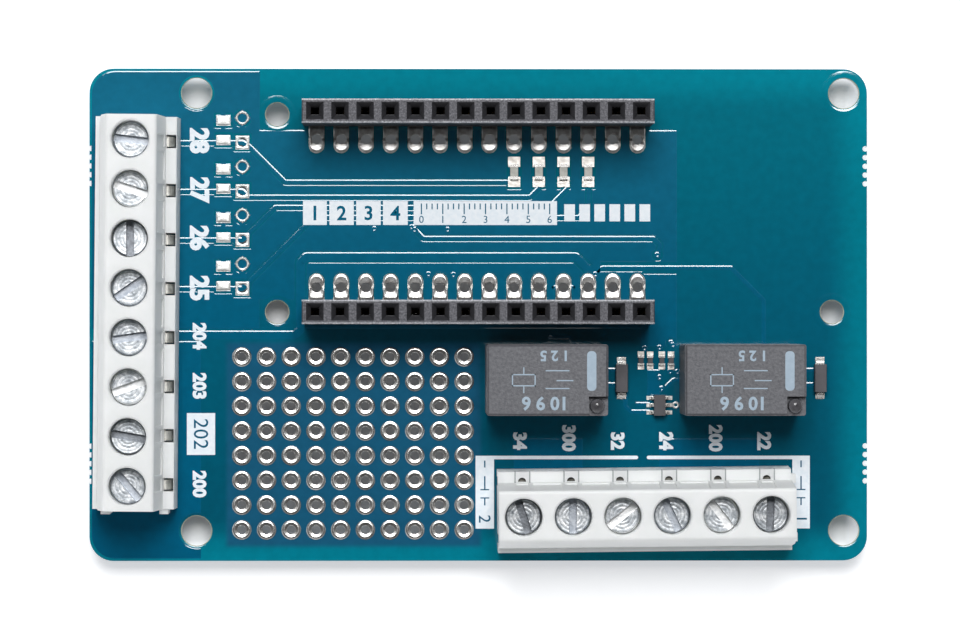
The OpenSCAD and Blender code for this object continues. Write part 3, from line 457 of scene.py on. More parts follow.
def turned_steel(name, low, high, ring_mm, phase, roughness, slot_tones):
    """Zinc-plated steel, faced in a lathe: fine rings round the screw's own middle, on its top alone, their bottoms
    painted grey, a painted shade.
    Its slot is smooth, and holds one painted tone, from shaded to lit by the way it faces."""
    made, tree, shader, place = start_material(name, Metallic=0.85, Roughness=roughness)
    centre = (low + high) / 2
    from_middle = add(tree, "ShaderNodeVectorMath", {0: place, 1: (centre.x, centre.y, 0.0)}, operation="SUBTRACT")
    flat = add(tree, "ShaderNodeVectorMath", {0: from_middle, 1: (1.0, 1.0, 0.0)}, operation="MULTIPLY")
    radius = add(tree, "ShaderNodeVectorMath", {0: flat}, operation="LENGTH").outputs["Value"]
    wobble = add(tree, "ShaderNodeTexNoise", {"Vector": place, "Scale": 0.8, "Detail": 2.0})
    turns = add(tree, "ShaderNodeMath", {0: radius, 1: math.tau / ring_mm, 2: phase}, operation="MULTIPLY_ADD")
    pushed = add(tree, "ShaderNodeMath", {0: wobble, 1: 2.5, 2: turns}, operation="MULTIPLY_ADD")
    rings = add(tree, "ShaderNodeMath", {0: pushed}, operation="SINE")
    split = add(tree, "ShaderNodeSeparateXYZ", {0: place})
    on_top = add(tree, "ShaderNodeMath", {0: split.outputs["Z"], 1: high.z - 0.05}, operation="GREATER_THAN")
    ridges = add(tree, "ShaderNodeMath", {0: rings, 1: on_top}, operation="MULTIPLY")
    grit = add(tree, "ShaderNodeTexNoise", {"Vector": place, "Scale": 4.0, "Detail": 4.0})
    relief = add(tree, "ShaderNodeMath", {0: grit, 1: 3.0, 2: ridges}, operation="MULTIPLY_ADD")
    bump = add(tree, "ShaderNodeBump", {"Height": relief, "Strength": 1.0, "Distance": 0.000004})
    worn = add(tree, "ShaderNodeTexNoise", {"Vector": place, "Scale": 1.6, "Detail": 4.0, "Roughness": 0.65})
    zinc = add(tree, "ShaderNodeValToRGB", {0: worn}, stops=[(0.3, "#848a90"), (0.46, "#b9bec3"), (0.64, "#f0f2f4")])
    # the slot and the head's sides take one painted tone of light, from shaded to lit, by the way the slot faces
    slot_painted_tone = add(tree, "ShaderNodeValToRGB", {0: worn}, stops=[(0.35, slot_tones[0]), (0.65, slot_tones[1])])
    # painted shade: the bottoms of the lathe's rings are painted grey
    ring_groove_shade = add(tree, "ShaderNodeMapRange", {"Value": rings, "From Min": -1.0, "From Max": -0.55,
                                              "To Min": 0.55, "To Max": 0.0})
    shade_lined_zinc = add(tree, "ShaderNodeMixRGB", {0: ring_groove_shade, 1: zinc, 2: srgb("#85898c")})
    colour = add(tree, "ShaderNodeMixRGB", {0: on_top, 1: slot_painted_tone, 2: shade_lined_zinc})
    wear(tree, shader, colour, bump)
    return made


def repaint(node_name, finish):
    """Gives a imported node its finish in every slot."""
    node = bpy.data.objects[node_name]
    for slot in node.material_slots:
        slot.link = "OBJECT"
        slot.material = finish


FINISHES = {
    "circuit_board": board_finish, "proto_pads": tinned_copper, "socket_pads": tinned_copper,
    "divider_pads": levelled_solder, "surface_pads": tinned_copper, "solder_joints": solder,
    "upper_socket_contacts": contact_bronze, "lower_socket_contacts": contact_bronze,
    "input_block_housing": input_nylon, "output_block_housing": output_nylon,
    "input_contact_strips": dull_brass, "output_contact_strips": brass_painted_shade,
    "relay_1_pins": solder, "relay_2_pins": solder,
    "diode_bodies": moulding_compound, "diode_leads": solder, "filter_chips": chip_ceramic,
    "filter_chip_ends": solder, "driver_chips": moulding_compound, "driver_chip_ends": solder,
    "driver_transistors": moulding_compound, "driver_transistor_leads": solder,
}
for node_name, finish in FINISHES.items():
    repaint(node_name, finish)
for relay in ("relay_1", "relay_2"):
    repaint(relay, relay_plastic("spark_textured_plastic_" + relay[-1], *box_mm(relay)))
for strip in ("upper_socket_strip", "lower_socket_strip"):
    repaint(strip, strip_plastic("glass_filled_plastic_" + strip.split("_")[0], *box_mm(strip)))
# Each slot's floor is painted one tone by the way it faces, from shaded through half lit to lit: painted light and
# shade
RING_MM = 0.36                     # the lathe's rings, drawn coarser than they are so that they show
SLOT_SHADED, SLOT_HALF_LIT, SLOT_LIT = ("#75787d", "#9a9fa6"), ("#9fa6b0", "#c6cbd2"), ("#dfe1e2", "#ffffff")
SLOT_TONES = {"input": (SLOT_HALF_LIT, SLOT_LIT, SLOT_SHADED, SLOT_HALF_LIT) * 2,
              "output": (SLOT_SHADED, SLOT_HALF_LIT, SLOT_LIT, SLOT_HALF_LIT, SLOT_LIT, SLOT_SHADED)}
draw = random.Random(7)
for block, poles, dullest in (("input", 8, 0.5), ("output", 6, 0.4)):
    for pole in range(1, poles + 1):
        screw = f"{block}_screw_{pole}"
        repaint(screw, turned_steel(f"turned_steel_{block}_{pole}", *box_mm(screw), RING_MM,
                                    draw.uniform(0, math.tau), dullest - draw.uniform(0, 0.08),
                                    SLOT_TONES[block][pole - 1]))
        repaint(f"{block}_cage_{pole}", cage_steel)


# ---------- copper under the mask ----------

RELIEF = 0.016                     # height of masked copper above the laminate
SLOPE = 6.0                        # width of the sloped film at its edge, for its height
SEATED = 0.01                      # how far a raised piece reaches into the board
CUT_LOW, CUT_HIGH = 0.004, 0.004   # how far a cutter reaches past the film, below and above


def inset(outline, distance):
    """Moves each side of a counter-clockwise outline inwards."""
    moved = []
    for i, here in enumerate(outline):
        here, before, after = Vector(here), Vector(outline[i - 1]), Vector(outline[(i + 1) % len(outline)])
        a, b = (here - before).normalized(), (after - here).normalized()
        turn = Vector((-a.y - b.y, a.x + b.x))
        moved.append(here + turn * (distance / (1 + a.dot(b))))
    return moved


def arc(x, y, radius, start, end, steps):
    """Points on a circle, from one angle to another in degrees."""
    return [(x + radius * math.cos(math.radians(start + (end - start) * i / steps)),
             y + radius * math.sin(math.radians(start + (end - start) * i / steps))) for i in range(steps + 1)]


def disc(x, y, radius, steps=32):
    return arc(x, y, radius, 0, 360, steps)[:-1]


def block_outline(x0, y0, x1, y1, radius=0.0, steps=5):
    """A rectangle, with rounded corners where a radius is given."""
    if not radius:
        return [(x0, y0), (x1, y0), (x1, y1), (x0, y1)]
    return (arc(x1 - radius, y0 + radius, radius, -90, 0, steps) + arc(x1 - radius, y1 - radius, radius, 0, 90, steps)
            + arc(x0 + radius, y1 - radius, radius, 90, 180, steps)
            + arc(x0 + radius, y0 + radius, radius, 180, 270, steps))


def stadium(x, y0, y1, radius, steps=10):
    """A slot's outline, its length along Y."""
    return arc(x, y1, radius, 0, 180, steps) + arc(x, y0, radius, 180, 360, steps)


def slab(outline, z0, z1, grow0=0.0, grow1=0.0):
    """A solid between two heights, whose outline grows outwards by its own amount at each."""
    count = len(outline)
    corners = [(p[0], p[1], z0) for p in (inset(outline, -grow0) if grow0 else outline)]
    corners += [(p[0], p[1], z1) for p in (inset(outline, -grow1) if grow1 else outline)]
    faces = [list(range(count))[::-1], list(range(count, 2 * count))]
    faces += [[i, (i + 1) % count, count + (i + 1) % count, count + i] for i in range(count)]
    return corners, faces


def raised(outline):
    """An area of masked copper, with the film's slope down to the laminate round it."""
    return slab(outline, BOARD_TOP - SEATED, BOARD_TOP + RELIEF, SLOPE * SEATED, -SLOPE * RELIEF)


def sunk(outline):
    """A cutter that clears an outline down to the laminate and leaves the film's slope round it."""
    return slab(outline, BOARD_TOP - SEATED - CUT_LOW, BOARD_TOP + RELIEF + CUT_HIGH, 0.0,
                SLOPE * (RELIEF + CUT_HIGH))


ribbon = bpy.data.node_groups.new("ribbon", "GeometryNodeTree")
for socket_name, kind in (("Geometry", "Geometry"), ("Low width", "Float"), ("High width", "Float"),
                          ("Thickness", "Float"), ("Bend radius", "Float"), ("Finish", "Material")):
    ribbon.interface.new_socket(socket_name, in_out="INPUT", socket_type="NodeSocket" + kind)
ribbon.interface.new_socket("Geometry", in_out="OUTPUT", socket_type="NodeSocketGeometry")
given = add(ribbon, "NodeGroupInput")
path = add(ribbon, "GeometryNodeMeshToCurve", {0: given.outputs["Geometry"]})
rounded = add(ribbon, "GeometryNodeFilletCurve", {"Curve": path, "Radius": given.outputs["Bend radius"]})
rounded.mode = "POLY"
rounded.inputs["Count"].default_value = 3
rounded.inputs["Limit Radius"].default_value = True
level_path = add(ribbon, "GeometryNodeSetCurveNormal", {0: rounded}, mode="Z_UP")
profile = add(ribbon, "GeometryNodeCurvePrimitiveQuadrilateral", mode="TRAPEZOID")
# the section's own bottom comes out on top
for key, source in (("Bottom Width", "High width"), ("Top Width", "Low width"), ("Height", "Thickness")):
    ribbon.links.new(given.outputs[source], profile.inputs[key])
profile.inputs["Offset"].default_value = 0.0
swept = add(ribbon, "GeometryNodeCurveToMesh", {0: level_path, 1: profile, "Fill Caps": True})
real = add(ribbon, "GeometryNodeRealizeInstances", {0: swept})
painted = add(ribbon, "GeometryNodeSetMaterial", {0: real, "Material": given.outputs["Finish"]})
add(ribbon, "NodeGroupOutput", {0: painted})


def ribbons(name, paths, low_width, high_width, z0, z1, bend=0.25):
    """Level strips of trapezoid section along each path, all widths and heights in millimetres."""
    corners, edges = [], []
    for points in paths:
        first = len(corners)
        corners += [(x, y, (z0 + z1) / 2) for x, y in points]
        edges += [(first + i, first + i + 1) for i in range(len(points) - 1)]
    made = grown(name, mesh_from(name, corners, edges=edges), ribbon, **{
        "Low width": low_width * MM, "High width": high_width * MM, "Thickness": (z1 - z0) * MM,
        "Bend radius": bend * MM, "Finish": mask_on_copper})
    for polygon in made.polygons:
        polygon.use_smooth = False
    return made


# Tracks as centre lines: those in a clearance of their own, those outside the copper, and the wide one
POLE_Y = [17.73, 12.73, 7.73, 2.73]
PAD_X = -24.3
BLOCK_SIDE = -30.9
tracks = [
    [(BLOCK_SIDE, POLE_Y[0]), (PAD_X, POLE_Y[0]), (-23.55, 17.33), (-19.9, 13.68), (3.0, 13.68)],
    [(BLOCK_SIDE, POLE_Y[1]), (PAD_X, POLE_Y[1]), (-23.7, 12.14), (5.27, 12.14), (6.25, 13.12)],
    [(BLOCK_SIDE, POLE_Y[2]), (PAD_X, POLE_Y[2]), (-23.75, 8.29), (-20.95, 11.09), (7.2, 11.09), (9.15, 13.04)],
    [(BLOCK_SIDE, POLE_Y[3]), (PAD_X, POLE_Y[3]), (-23.7, 3.33), (-16.97, 10.06), (10.3, 10.06), (11.3, 11.06),
     (11.3, 12.9)],
    [(-6.9, 9.2), (-5.7, 7.9), (18.0, 7.9), (18.72, 7.2), (18.4, 6.15)],
]
lone_tracks = [
    [(12.0, 4.15), (12.7, 4.85), (26.0, 4.85), (29.35, 1.5), (29.35, -3.6)],
    [(12.7, -5.68), (14.6, -5.68)], [(12.7, -7.17), (14.6, -7.17)],
    [(32.7, -5.68), (34.6, -5.68)], [(32.7, -7.17), (34.6, -7.17)],
    [(15.1, -8.2), (15.1, -9.4), (15.7, -9.97), (17.6, -9.97)],
    [(16.2, -9.2), (17.6, -9.2)],
    [(19.3, -7.4), (20.05, -6.68), (21.0, -6.68)],
    [(7.4, -2.3), (9.3, -2.3), (10.4, -3.4)],
]
broad_track = [[(-31.0, -2.08), (-18.9, -2.08), (-18.32, -1.5), (-18.32, 5.4), (-17.75, 5.98), (10.0, 5.98),
                (11.26, 4.7)]]

PITCH = 2.54                       # of the socket contacts and of the prototyping holes
socket_xs = [-16.68 + PITCH * i for i in range(14)]
UPPER_HOLE_Y, LOWER_HOLE_Y = 18.07, 2.83
filter_xs = [3.64 + PITCH * i for i in range(4)]
# one contact's pad is joined to the copper round it by a spoke on each side
ground_x = socket_xs[10]
lone_tracks += [[(ground_x + side * 0.7, LOWER_HOLE_Y), (ground_x + side * 1.2, LOWER_HOLE_Y)] for side in (-1, 1)]

POUR_X, POUR_Y, POUR_CORNER = -39.75, 25.05, 2.4
pour_main = [(POUR_X, -1.42), (16.6, -1.42), (16.6, -3.3), (20.4, -3.3), (20.4, 19.0), (-22.5, 19.0),
             (-22.5, POUR_Y)] + arc(POUR_X + POUR_CORNER, POUR_Y - POUR_CORNER, POUR_CORNER, 90, 180, 8)
pour_left = arc(POUR_X + POUR_CORNER, -POUR_Y + POUR_CORNER, POUR_CORNER, 180, 270, 8) + [
    (-28.55, -POUR_Y), (-28.55, -2.7), (POUR_X, -2.7)]
pour_small = [(17.35, -8.25), (18.65, -8.25), (18.65, -5.62), (17.35, -5.62)]
pour_contacts = [
    [(3.6, -17.0), (10.7, -17.0), (10.7, -12.72), (3.6, -12.72)],
    [(18.6, -17.0), (28.9, -17.0), (28.9, -12.72), (18.6, -12.72)],
]
cut_outlines = [
    disc(-29.0, 22.8, 1.78, 64), disc(-29.0, -22.2, 1.78, 64),
    block_outline(-22.5, -1.6, -18.75, 1.5),
    disc(18.4, 6.15, 0.55, 20), disc(19.8, -2.9, 0.5, 20),
    block_outline(16.9, 4.25, 20.9, 5.4), block_outline(12.6, 4.5, 17.2, 5.4),
]
for x in socket_xs:
    cut_outlines.append(stadium(x, UPPER_HOLE_Y - 0.65, UPPER_HOLE_Y + 3.0, 0.9))
    cut_outlines.append(stadium(x, LOWER_HOLE_Y - 3.0, LOWER_HOLE_Y + 0.65, 0.9))
for x in filter_xs:
    cut_outlines.append(block_outline(x - 0.75, 12.95, x + 0.75, 16.4, 0.15))
for y in POLE_Y:
    cut_outlines += [block_outline(-27.15, y - 0.5, -25.35, y + 1.0, 0.1),
                     block_outline(PAD_X - 0.9, y - 0.9, PAD_X + 0.9, y + 0.9, 0.1)]
# broken lines of bare laminate round the round pads and at the corners of the flat ones
relief_arcs = []
for y in POLE_Y:
    for quarter in range(4):
        relief_arcs.append(arc(PAD_X, y + 2.5, 0.85, 90 * quarter + 18, 90 * quarter + 72, 6))
    for side in (-1, 1):
        for hand in (1, -1):
            relief_arcs.append([(-26.26 + hand * 0.24, y + 2.25 + side * 0.68),
                                (-26.26 + hand * 0.88, y + 2.25 + side * 0.68),
                                (-26.26 + hand * 0.88, y + 2.25 + side * 0.2)])


def channel(name, paths, half_width, bend=0.25):
    """Cutters that leave a film slope on both banks of a track's clearance."""
    return ribbons(name, paths, 2 * half_width, 2 * (half_width + SLOPE * (RELIEF + CUT_HIGH)),
                   BOARD_TOP - SEATED - CUT_LOW, BOARD_TOP + RELIEF + CUT_HIGH, bend)


cutter = bmesh.new()
for mesh in (channel("thin_channels", tracks, 0.3), channel("broad_channel", broad_track, 0.58),
             channel("relief_channels", relief_arcs, 0.06, 0.05), join("clearances", [sunk(o) for o in cut_outlines])):
    cutter.from_mesh(mesh)
bmesh.ops.recalc_face_normals(cutter, faces=cutter.faces)
cutter_mesh = bpy.data.meshes.new("cutter")
cutter.to_mesh(cutter_mesh)
cutter.free()
cutter_object = bpy.data.objects.new("cutter", cutter_mesh)
scene.collection.objects.link(cutter_object)
pour = join("copper_pour", [raised(o) for o in [pour_main, pour_left, pour_small] + pour_contacts])
pour_object = bpy.data.objects.new("pour_base", pour)
scene.collection.objects.link(pour_object)
carve = pour_object.modifiers.new("carve", "BOOLEAN")
carve.object = cutter_object
carve.operation = "DIFFERENCE"
carve.solver = "EXACT"
carve.use_self = True
carved = bpy.data.meshes.new_from_object(pour_object.evaluated_get(bpy.context.evaluated_depsgraph_get()))
bpy.data.objects.remove(pour_object)
bpy.data.objects.remove(cutter_object)
piece("copper_pour", carved, mask_on_copper)
track_low, track_high = BOARD_TOP - SEATED, BOARD_TOP + RELIEF
for name, paths, low_width, high_width in (
        ("thin_tracks", tracks, 0.58, 0.24), ("lone_tracks", lone_tracks, 0.58, 0.24),
        ("broad_track", broad_track, 1.04, 0.7)):
    piece(name, ribbons(name, paths, low_width, high_width, track_low, track_high), mask_on_copper)


# ---------- solder on the pads and film over the vias ----------

def ring_profile(bowl, crest, lip_depth, edge=0.0, steps_out=4):
    """(share of the way from hole to rim, height) of a solder skin: down the hole's wall, an even slope
    up from its mouth to a crest, and a round shoulder down to its rim."""
    profile = [(0.0, -lip_depth), (0.0, 0.02)]
    profile += [(bowl * share, 0.02 + (crest - 0.02) * share) for share in (0.08, 0.5, 0.9)]
    profile.append((bowl, crest))
    for i in range(1, steps_out + 1):
        share = i / steps_out
        profile.append((bowl + (1 - bowl) * share, edge + (crest - edge) * math.cos(share * math.pi / 2) ** 0.8))
    return profile


def skin(middle, hole_radius, reach_at, profile, z, steps=32):
    """A skin of solder or film round a hole, or over a whole pad where the radius is 0, out to reach_at(angle)."""
    corners, faces = [], []
    if not hole_radius:
        peak, profile = profile[0][1], profile[1:]
    for step in range(steps):
        angle = math.tau * step / steps
        rim = reach_at(angle)
        for share, lift in profile:
            radius = hole_radius + (rim - hole_radius) * share
            corners.append((middle[0] + radius * math.cos(angle), middle[1] + radius * math.sin(angle), z + lift))
    rows = len(profile)
    for step in range(steps):
        here, there = step * rows, (step + 1) % steps * rows
        faces += [[here + row, here + row + 1, there + row + 1, there + row] for row in range(rows - 1)]
        if not hole_radius:
            faces.append([steps * rows, here, there])
    if not hole_radius:
        corners.append((middle[0], middle[1], z + peak))
    return corners, faces


scatter = bpy.data.node_groups.new("scatter", "GeometryNodeTree")
for socket_name, kind in (("Geometry", "Geometry"), ("Shape", "Object"), ("Size change", "Float"),
                          ("Turn", "Float"), ("Seed", "Int"), ("Finish", "Material")):
    scatter.interface.new_socket(socket_name, in_out="INPUT", socket_type="NodeSocket" + kind)
scatter.interface.new_socket("Geometry", in_out="OUTPUT", socket_type="NodeSocketGeometry")
given = add(scatter, "NodeGroupInput")
shape = add(scatter, "GeometryNodeObjectInfo", {"Object": given.outputs["Shape"]})
points = add(scatter, "GeometryNodeMeshToPoints", {0: given.outputs["Geometry"]})
smallest = add(scatter, "ShaderNodeMath", {0: 1.0, 1: given.outputs["Size change"]}, operation="SUBTRACT")
largest = add(scatter, "ShaderNodeMath", {0: 1.0, 1: given.outputs["Size change"]}, operation="ADD")
size = add(scatter, "FunctionNodeRandomValue", data_type="FLOAT")
spin = add(scatter, "FunctionNodeRandomValue", data_type="FLOAT")
drawn = []
for made, least, most in ((size, smallest.outputs[0], largest.outputs[0]), (spin, None, given.outputs["Turn"])):
    least_input, most_input = [s for s in made.inputs if s.type == "VALUE"][:2]
    least_input.default_value = 0.0
    if least:
        scatter.links.new(least, least_input)
    scatter.links.new(most, most_input)
    scatter.links.new(given.outputs["Seed"], made.inputs["Seed"])
    drawn.append(next(s for s in made.outputs if s.type == "VALUE"))
heights = add(scatter, "ShaderNodeCombineXYZ", {"X": 1.0, "Y": 1.0, "Z": drawn[0]})
turned = add(scatter, "ShaderNodeCombineXYZ", {"Z": drawn[1]})
placed = add(scatter, "GeometryNodeInstanceOnPoints",
             {"Points": points, "Instance": shape.outputs["Geometry"], "Rotation": turned, "Scale": heights})
real = add(scatter, "GeometryNodeRealizeInstances", {0: placed})
painted = add(scatter, "GeometryNodeSetMaterial", {0: real, "Material": given.outputs["Finish"]})
add(scatter, "NodeGroupOutput", {0: painted})


def scattered(name, shape_parts, places, size_change, turn, seed, finish):
    """Copies of one shape, made at the origin, at each place."""
    shape_object = bpy.data.objects.new(name + "_shape", join(name + "_shape", shape_parts))
    scene.collection.objects.link(shape_object)
    made = grown(name, mesh_from(name, places), scatter, Shape=shape_object, Turn=turn, Seed=seed, Finish=finish,
                 **{"Size change": size_change})
    bpy.data.objects.remove(shape_object)
    for polygon in made.polygons:
        polygon.use_smooth = True
    return piece(name, made, finish)


PLATING = 0.08                     # height of a pad's plating above the board
pad_face = BOARD_TOP + PLATING
hole_ring = ring_profile(0.5, 0.08, 0.35)
proto_places = [(-24.36 + PITCH * column, -22.1 + PITCH * row, pad_face) for row in range(8) for column in range(10)]
scattered("proto_pad_solder", [skin((0, 0), 0.47, lambda angle: 1.0, hole_ring, 0.0, 28)],
          proto_places, 0.25, math.tau, 3, solder)


def long_pad_reach(angle):
    """From the open hole to the pad's outline: round at its end, straight beside it, cut off under the strip."""
    half_width, to_strip, middle = 0.8, 1.28, 0.65   # the end's circle has its middle that far beyond the hole
    dx, dy = math.cos(angle), math.sin(angle)
    side = half_width / max(abs(dx), 1e-6)
    if dy < 0:
        return min(side, to_strip / -dy)
    along = dy * middle
    to_end = along + math.sqrt(max(0.0, along * along - middle * middle + half_width * half_width))
    return to_end if to_end * dy > middle or side * dy > middle else min(side, to_end)


long_ring = ring_profile(0.64, 0.1, 0.4)
for name, y, turn in (("upper_pad_solder", UPPER_HOLE_Y, math.pi), ("lower_pad_solder", LOWER_HOLE_Y, 0.0)):
    ring_corners, ring_faces = skin((0, 0), 0.52, long_pad_reach, long_ring, 0.0, 36)
    if turn:
        ring_corners = [(-x, -y_local, z) for x, y_local, z in ring_corners]
    scattered(name, [(ring_corners, ring_faces)], [(x, y, pad_face) for x in socket_xs], 0.2, 0.0, 11,
              drawn_solder)


def square_reach(half_x, half_y):
    """A rectangular pad."""
    return lambda angle: min(half_x / max(abs(math.cos(angle)), 1e-6), half_y / max(abs(math.sin(angle)), 1e-6))


def octagon_reach(half, ear):
    """An eight-sided pad, with an ear of solder run out along each of its four spokes."""
    def reach(angle):
        flat = half / math.cos((angle + math.pi / 8) % (math.pi / 4) - math.pi / 8)
        return flat + ear * max(0.0, math.cos(4 * angle)) ** 6
    return reach


lead_ring = ring_profile(0.5, 0.05, 0.3)
round_ring = ring_profile(0.45, 0.06, 0.3, edge=-0.05)
pillow = [(0.0, 0.075), (0.4, 0.07), (0.7, 0.055), (0.9, 0.03), (1.0, 0.0)]
scattered("square_pad_solder", [skin((0, 0), 0.47, square_reach(0.69, 0.69), lead_ring, 0.0, 32)],
          [(PAD_X, y, pad_face) for y in POLE_Y], 0.2, 0.0, 5, levelled_solder)
scattered("round_pad_solder", [skin((0, 0), 0.47, octagon_reach(0.68, 0.14), round_ring, 0.0, 48)],
          [(PAD_X, y + 2.51, pad_face) for y in POLE_Y], 0.2, 0.0, 6, levelled_solder)
scattered("flat_pad_solder", [skin((0, 0), 0.0, square_reach(0.71, 0.49), pillow, 0.0, 32)],
          [(-26.25, y + step, pad_face) for y in POLE_Y for step in (0.25, 2.25)], 0.3, 0.0, 8, levelled_solder)


# A via is a speck of film drawn up round a filled hole; one of them was left open and tinned
via_shape = skin((0, 0), 0.0, lambda angle: 0.34,
                 [(0.0, -0.01), (0.25, 0.004), (0.5, 0.03), (0.72, 0.026), (1.0, 0.0)], 0.0, 14)
via_places = [(17.07, -3.45), (18.6, -3.4), (20.0, -3.1), (18.62, -6.45), (18.85, -7.62), (19.7, -5.85), (20.45, -5.9),
              (-5.17, 4.16), (-2.6, 4.1), (-10.75, 8.83), (-6.6, 8.75), (-3.2, 8.75), (18.4, 6.15), (19.8, -2.9),
              (15.1, -8.2), (12.0, 4.15), (7.4, -2.3), (-6.9, 9.0)]
scattered("via_film", [via_shape], [(x, y, BOARD_TOP + RELIEF - 0.004) for x, y in via_places], 0.3, 0.0, 13,
          mask_on_copper)
scattered("open_via_solder", [skin((0, 0), 0.16, lambda angle: 0.38, ring_profile(0.5, 0.05, 0.1), 0.0, 20)],
          [(20.28, -9.28, BOARD_TOP + 0.01)], 0.0, 0.0, 14, levelled_solder)


# ---------- the film's lip round each drilled hole ----------

# It leaves the laminate bare at the hole's very edge, rises from there, and dies away outside
lip_profile = [(-0.06, -0.09), (0.02, 0.002), (0.12, 0.004), (0.22, 0.016), (0.3, 0.022), (0.5, 0.014), (0.75, -0.002)]
# (middle, radius, how many rows of the profile: on copper, the clearance's own slope takes over after 3)
ALL_ROWS = len(lip_profile)
rounds = [(x, y, 1.6, rows) for x, rows in ((-29.0, 3), (37.6, ALL_ROWS)) for y in (22.8, -22.2)]
rounds += [(x, y, 1.25, ALL_ROWS) for x, y in ((-20.72, 20.61), (-20.72, 0.29), (36.38, 0.29))]
lips = [skin((x, y), radius, lambda angle, r=radius: r + 1, lip_profile[:rows], BOARD_TOP, 64)
        for x, y, radius, rows in rounds]
lip_mesh = join("hole_lips", lips)
for polygon in lip_mesh.polygons:
    polygon.use_smooth = polygon.normal.z > 0.8
piece("hole_lips", lip_mesh, board_finish)


# ---------- print ----------

def glyphs(text, height_mm, bold=0.0):
    """Flat digits as (corners, faces), centred on the origin, in millimetres."""
    curve = bpy.data.curves.new(text, "FONT")
    curve.body = text
    curve.size = 1.0
    curve.resolution_u = 3
    curve.align_x = "CENTER"
    curve.offset = bold
    holder = bpy.data.objects.new(text, curve)
    scene.collection.objects.link(holder)
    mesh = bpy.data.meshes.new_from_object(holder.evaluated_get(bpy.context.evaluated_depsgraph_get()))
    bpy.data.objects.remove(holder)
    xs = [v.co.x for v in mesh.vertices]
    ys = [v.co.y for v in mesh.vertices]
    scale = height_mm / (max(ys) - min(ys))
    middle = ((max(xs) + min(xs)) / 2, (max(ys) + min(ys)) / 2)
    corners = [((v.co.x - middle[0]) * scale, (v.co.y - middle[1]) * scale) for v in mesh.vertices]
    return corners, [list(p.vertices) for p in mesh.polygons]


def laid(flat, x, y, z, turn=0.0):
    """Puts flat glyphs or an outline on a surface, turned about the vertical in degrees."""
    corners, faces = flat
    c, s = math.cos(math.radians(turn)), math.sin(math.radians(turn))
    return [(x + px * c - py * s, y + px * s + py * c, z) for px, py in corners], faces


INK = 0.012                        # thickness of the ink
on_copper = BOARD_TOP + RELIEF + INK
on_bare = BOARD_TOP + INK
BOLD = 0.05                        # how far each glyph grows, as a share of its type size
numbers = []
for number, y in (("28", 17.9), ("27", 12.8), ("26", 7.9), ("25", 2.75)):
    numbers.append(laid(glyphs(number, 2.05, BOLD), -28.7, y, on_copper, -90))
for number, y in (("204", -2.2), ("203", -7.3), ("200", -17.4)):
    numbers.append(laid(glyphs(number, 1.45, BOLD), -28.7, y, on_copper, -90))
for number, x, y in (("34", 4.24, -13.0), ("300", 9.28, -12.7), ("32", 14.3, -13.0),
                     ("24", 19.3, -13.0), ("200", 24.4, -12.7), ("22", 29.4, -13.0)):
    numbers.append(laid(glyphs(number, 1.45, BOLD), x, y, on_copper, -90))

fields = [slab(block_outline(-30.0, -14.4, -27.1, -10.1), BOARD_TOP, on_copper)]
for x0, x1 in ((-18.07, -15.62), (-15.36, -12.85), (-12.6, -10.08), (-9.85, -7.3)):
    fields.append(slab(block_outline(x0, 9.24, x1, 11.7), BOARD_TOP, on_copper))
fields.append(slab(block_outline(-6.7, 9.24, 8.05, 11.7), BOARD_TOP, on_copper))
# Six blank boxes beside the scale, to be written in by hand
for box in range(6):
    x0 = 8.8 + box * 1.55
    fields.append(slab(block_outline(x0, 9.62, x0 + 1.1, 11.38), BOARD_TOP, on_copper))
fields += [slab(block_outline(x0, -22.0, x1, -14.5), BOARD_TOP, on_bare) for x0, x1 in ((-0.33, 1.57), (32.3, 34.1))]
fields += [slab(stadium_outline, BOARD_TOP, on_copper) for stadium_outline in (
    block_outline(1.4, -14.87, 16.4, -14.5, 0.18), block_outline(17.3, -14.87, 32.5, -14.5, 0.18))]
piece("board_print", join("board_print", numbers + fields), print_ink)

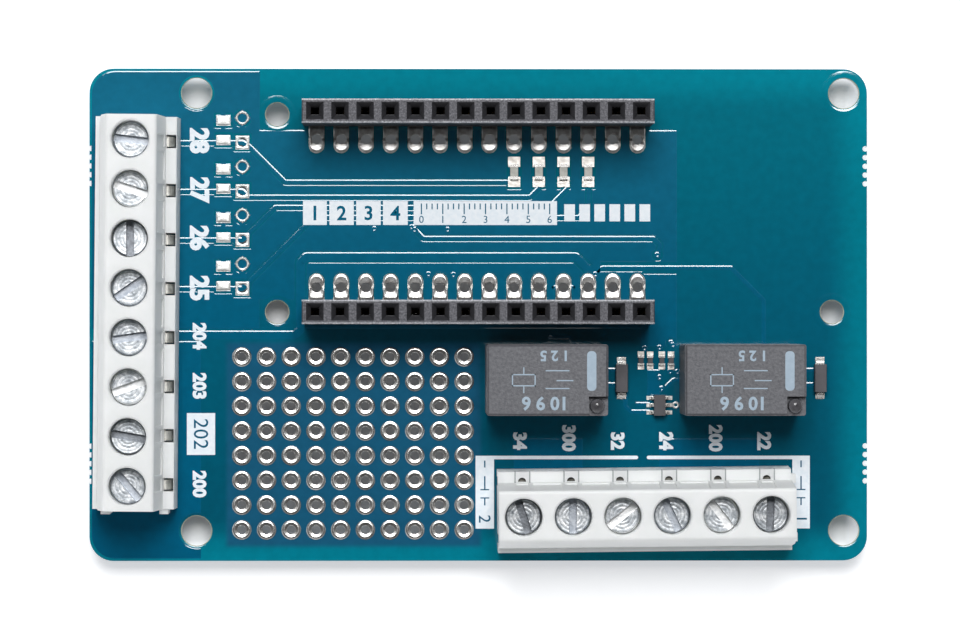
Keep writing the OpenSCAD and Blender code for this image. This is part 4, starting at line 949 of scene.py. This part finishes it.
# Shapes left out of the printed fields show the film below; they lie a hair above the ink
HAIR = 0.004
out_z = on_copper + HAIR
left_out = [laid(glyphs("202", 1.5, 0.0), -28.55, -12.25, out_z, -90)]
for number, x in zip("1234", (-16.85, -14.1, -11.34, -8.58)):
    left_out.append(laid(glyphs(number, 1.5, 0.02), x, 10.47, out_z))
for tick in range(25):
    x = -5.9 + tick * 0.55
    tall = 1.1 if tick % 4 == 0 else 0.6
    left_out.append(slab(block_outline(x - 0.06, 11.45 - tall, x + 0.06, 11.45), on_copper - HAIR / 2, out_z))
for number in range(7):
    left_out.append(laid(glyphs(str(number), 0.75, 0.0), -5.9 + number * 2.2, 9.82, out_z))
for number, x in (("2", 0.62), ("1", 33.2)):
    left_out.append(laid(glyphs(number, 1.2, 0.0), x, -21.0, out_z, -90))
    for low, high in ((-19.6, -18.9), (-18.0, -16.6), (-15.7, -15.0)):
        left_out.append(slab(block_outline(x - 0.07, low, x + 0.07, high), on_bare - HAIR / 2, on_bare + HAIR))
    for y in (-18.9, -18.05):
        left_out.append(slab(block_outline(x - 0.45, y, x + 0.45, y + 0.12), on_bare - HAIR / 2, on_bare + HAIR))
piece("print_openings", join("print_openings", left_out), mask_on_copper)

# The relay cases carry a bar beside pin 1, pin numbers and the coil-and-contact diagram,
# and each vent nib ends in a smooth dome where its tip was melted shut
dome_profile = [(0.0, 0.3), (0.3, 0.28), (0.6, 0.2), (0.85, 0.09), (1.0, 0.0)]
nib_tips = []
relay_marks = []
for relay in ("relay_1", "relay_2"):
    low, high = box_mm(relay)
    cx, cy, top = (low.x + high.x) / 2, (low.y + high.y) / 2, high.z
    nib_tips.append((high.x - 1.1, low.y + 1.0, top - 0.16))
    relay_marks.append(slab(block_outline(cx + 3.98, cy - 1.07, cx + 4.92, cy + 2.93, 0.4), top, top + INK))
    for text, height, x, y in (("1 2 5", 1.1, 0.6, 2.45), ("10 9 6", 1.45, -0.4, -2.35)):
        relay_marks.append(laid(glyphs(text, height, 0.03), cx + x, cy + y, top + INK, 180))
    for x0, y0, x1, y1 in ((-3.6, 0.5, -1.2, 0.62), (-3.6, -0.62, -1.2, -0.5), (-3.6, -0.62, -3.48, 0.62),
                           (-1.32, -0.62, -1.2, 0.62), (-2.46, 0.62, -2.34, 1.3), (-2.46, -1.3, -2.34, -0.62),
                           (-0.2, 0.9, 2.2, 1.02), (-0.2, -0.9, 2.2, -0.78), (0.9, -0.1, 2.6, 0.02)):
        relay_marks.append(slab(block_outline(cx + x0, cy + y0, cx + x1, cy + y1), top, top + INK))
piece("relay_print", join("relay_print", relay_marks), relay_ink)
scattered("vent_nib_tips", [skin((0, 0), 0.0, lambda angle: 0.64, dome_profile, 0.0, 24)], nib_tips, 0.1, math.tau, 9,
          sealed_plastic)
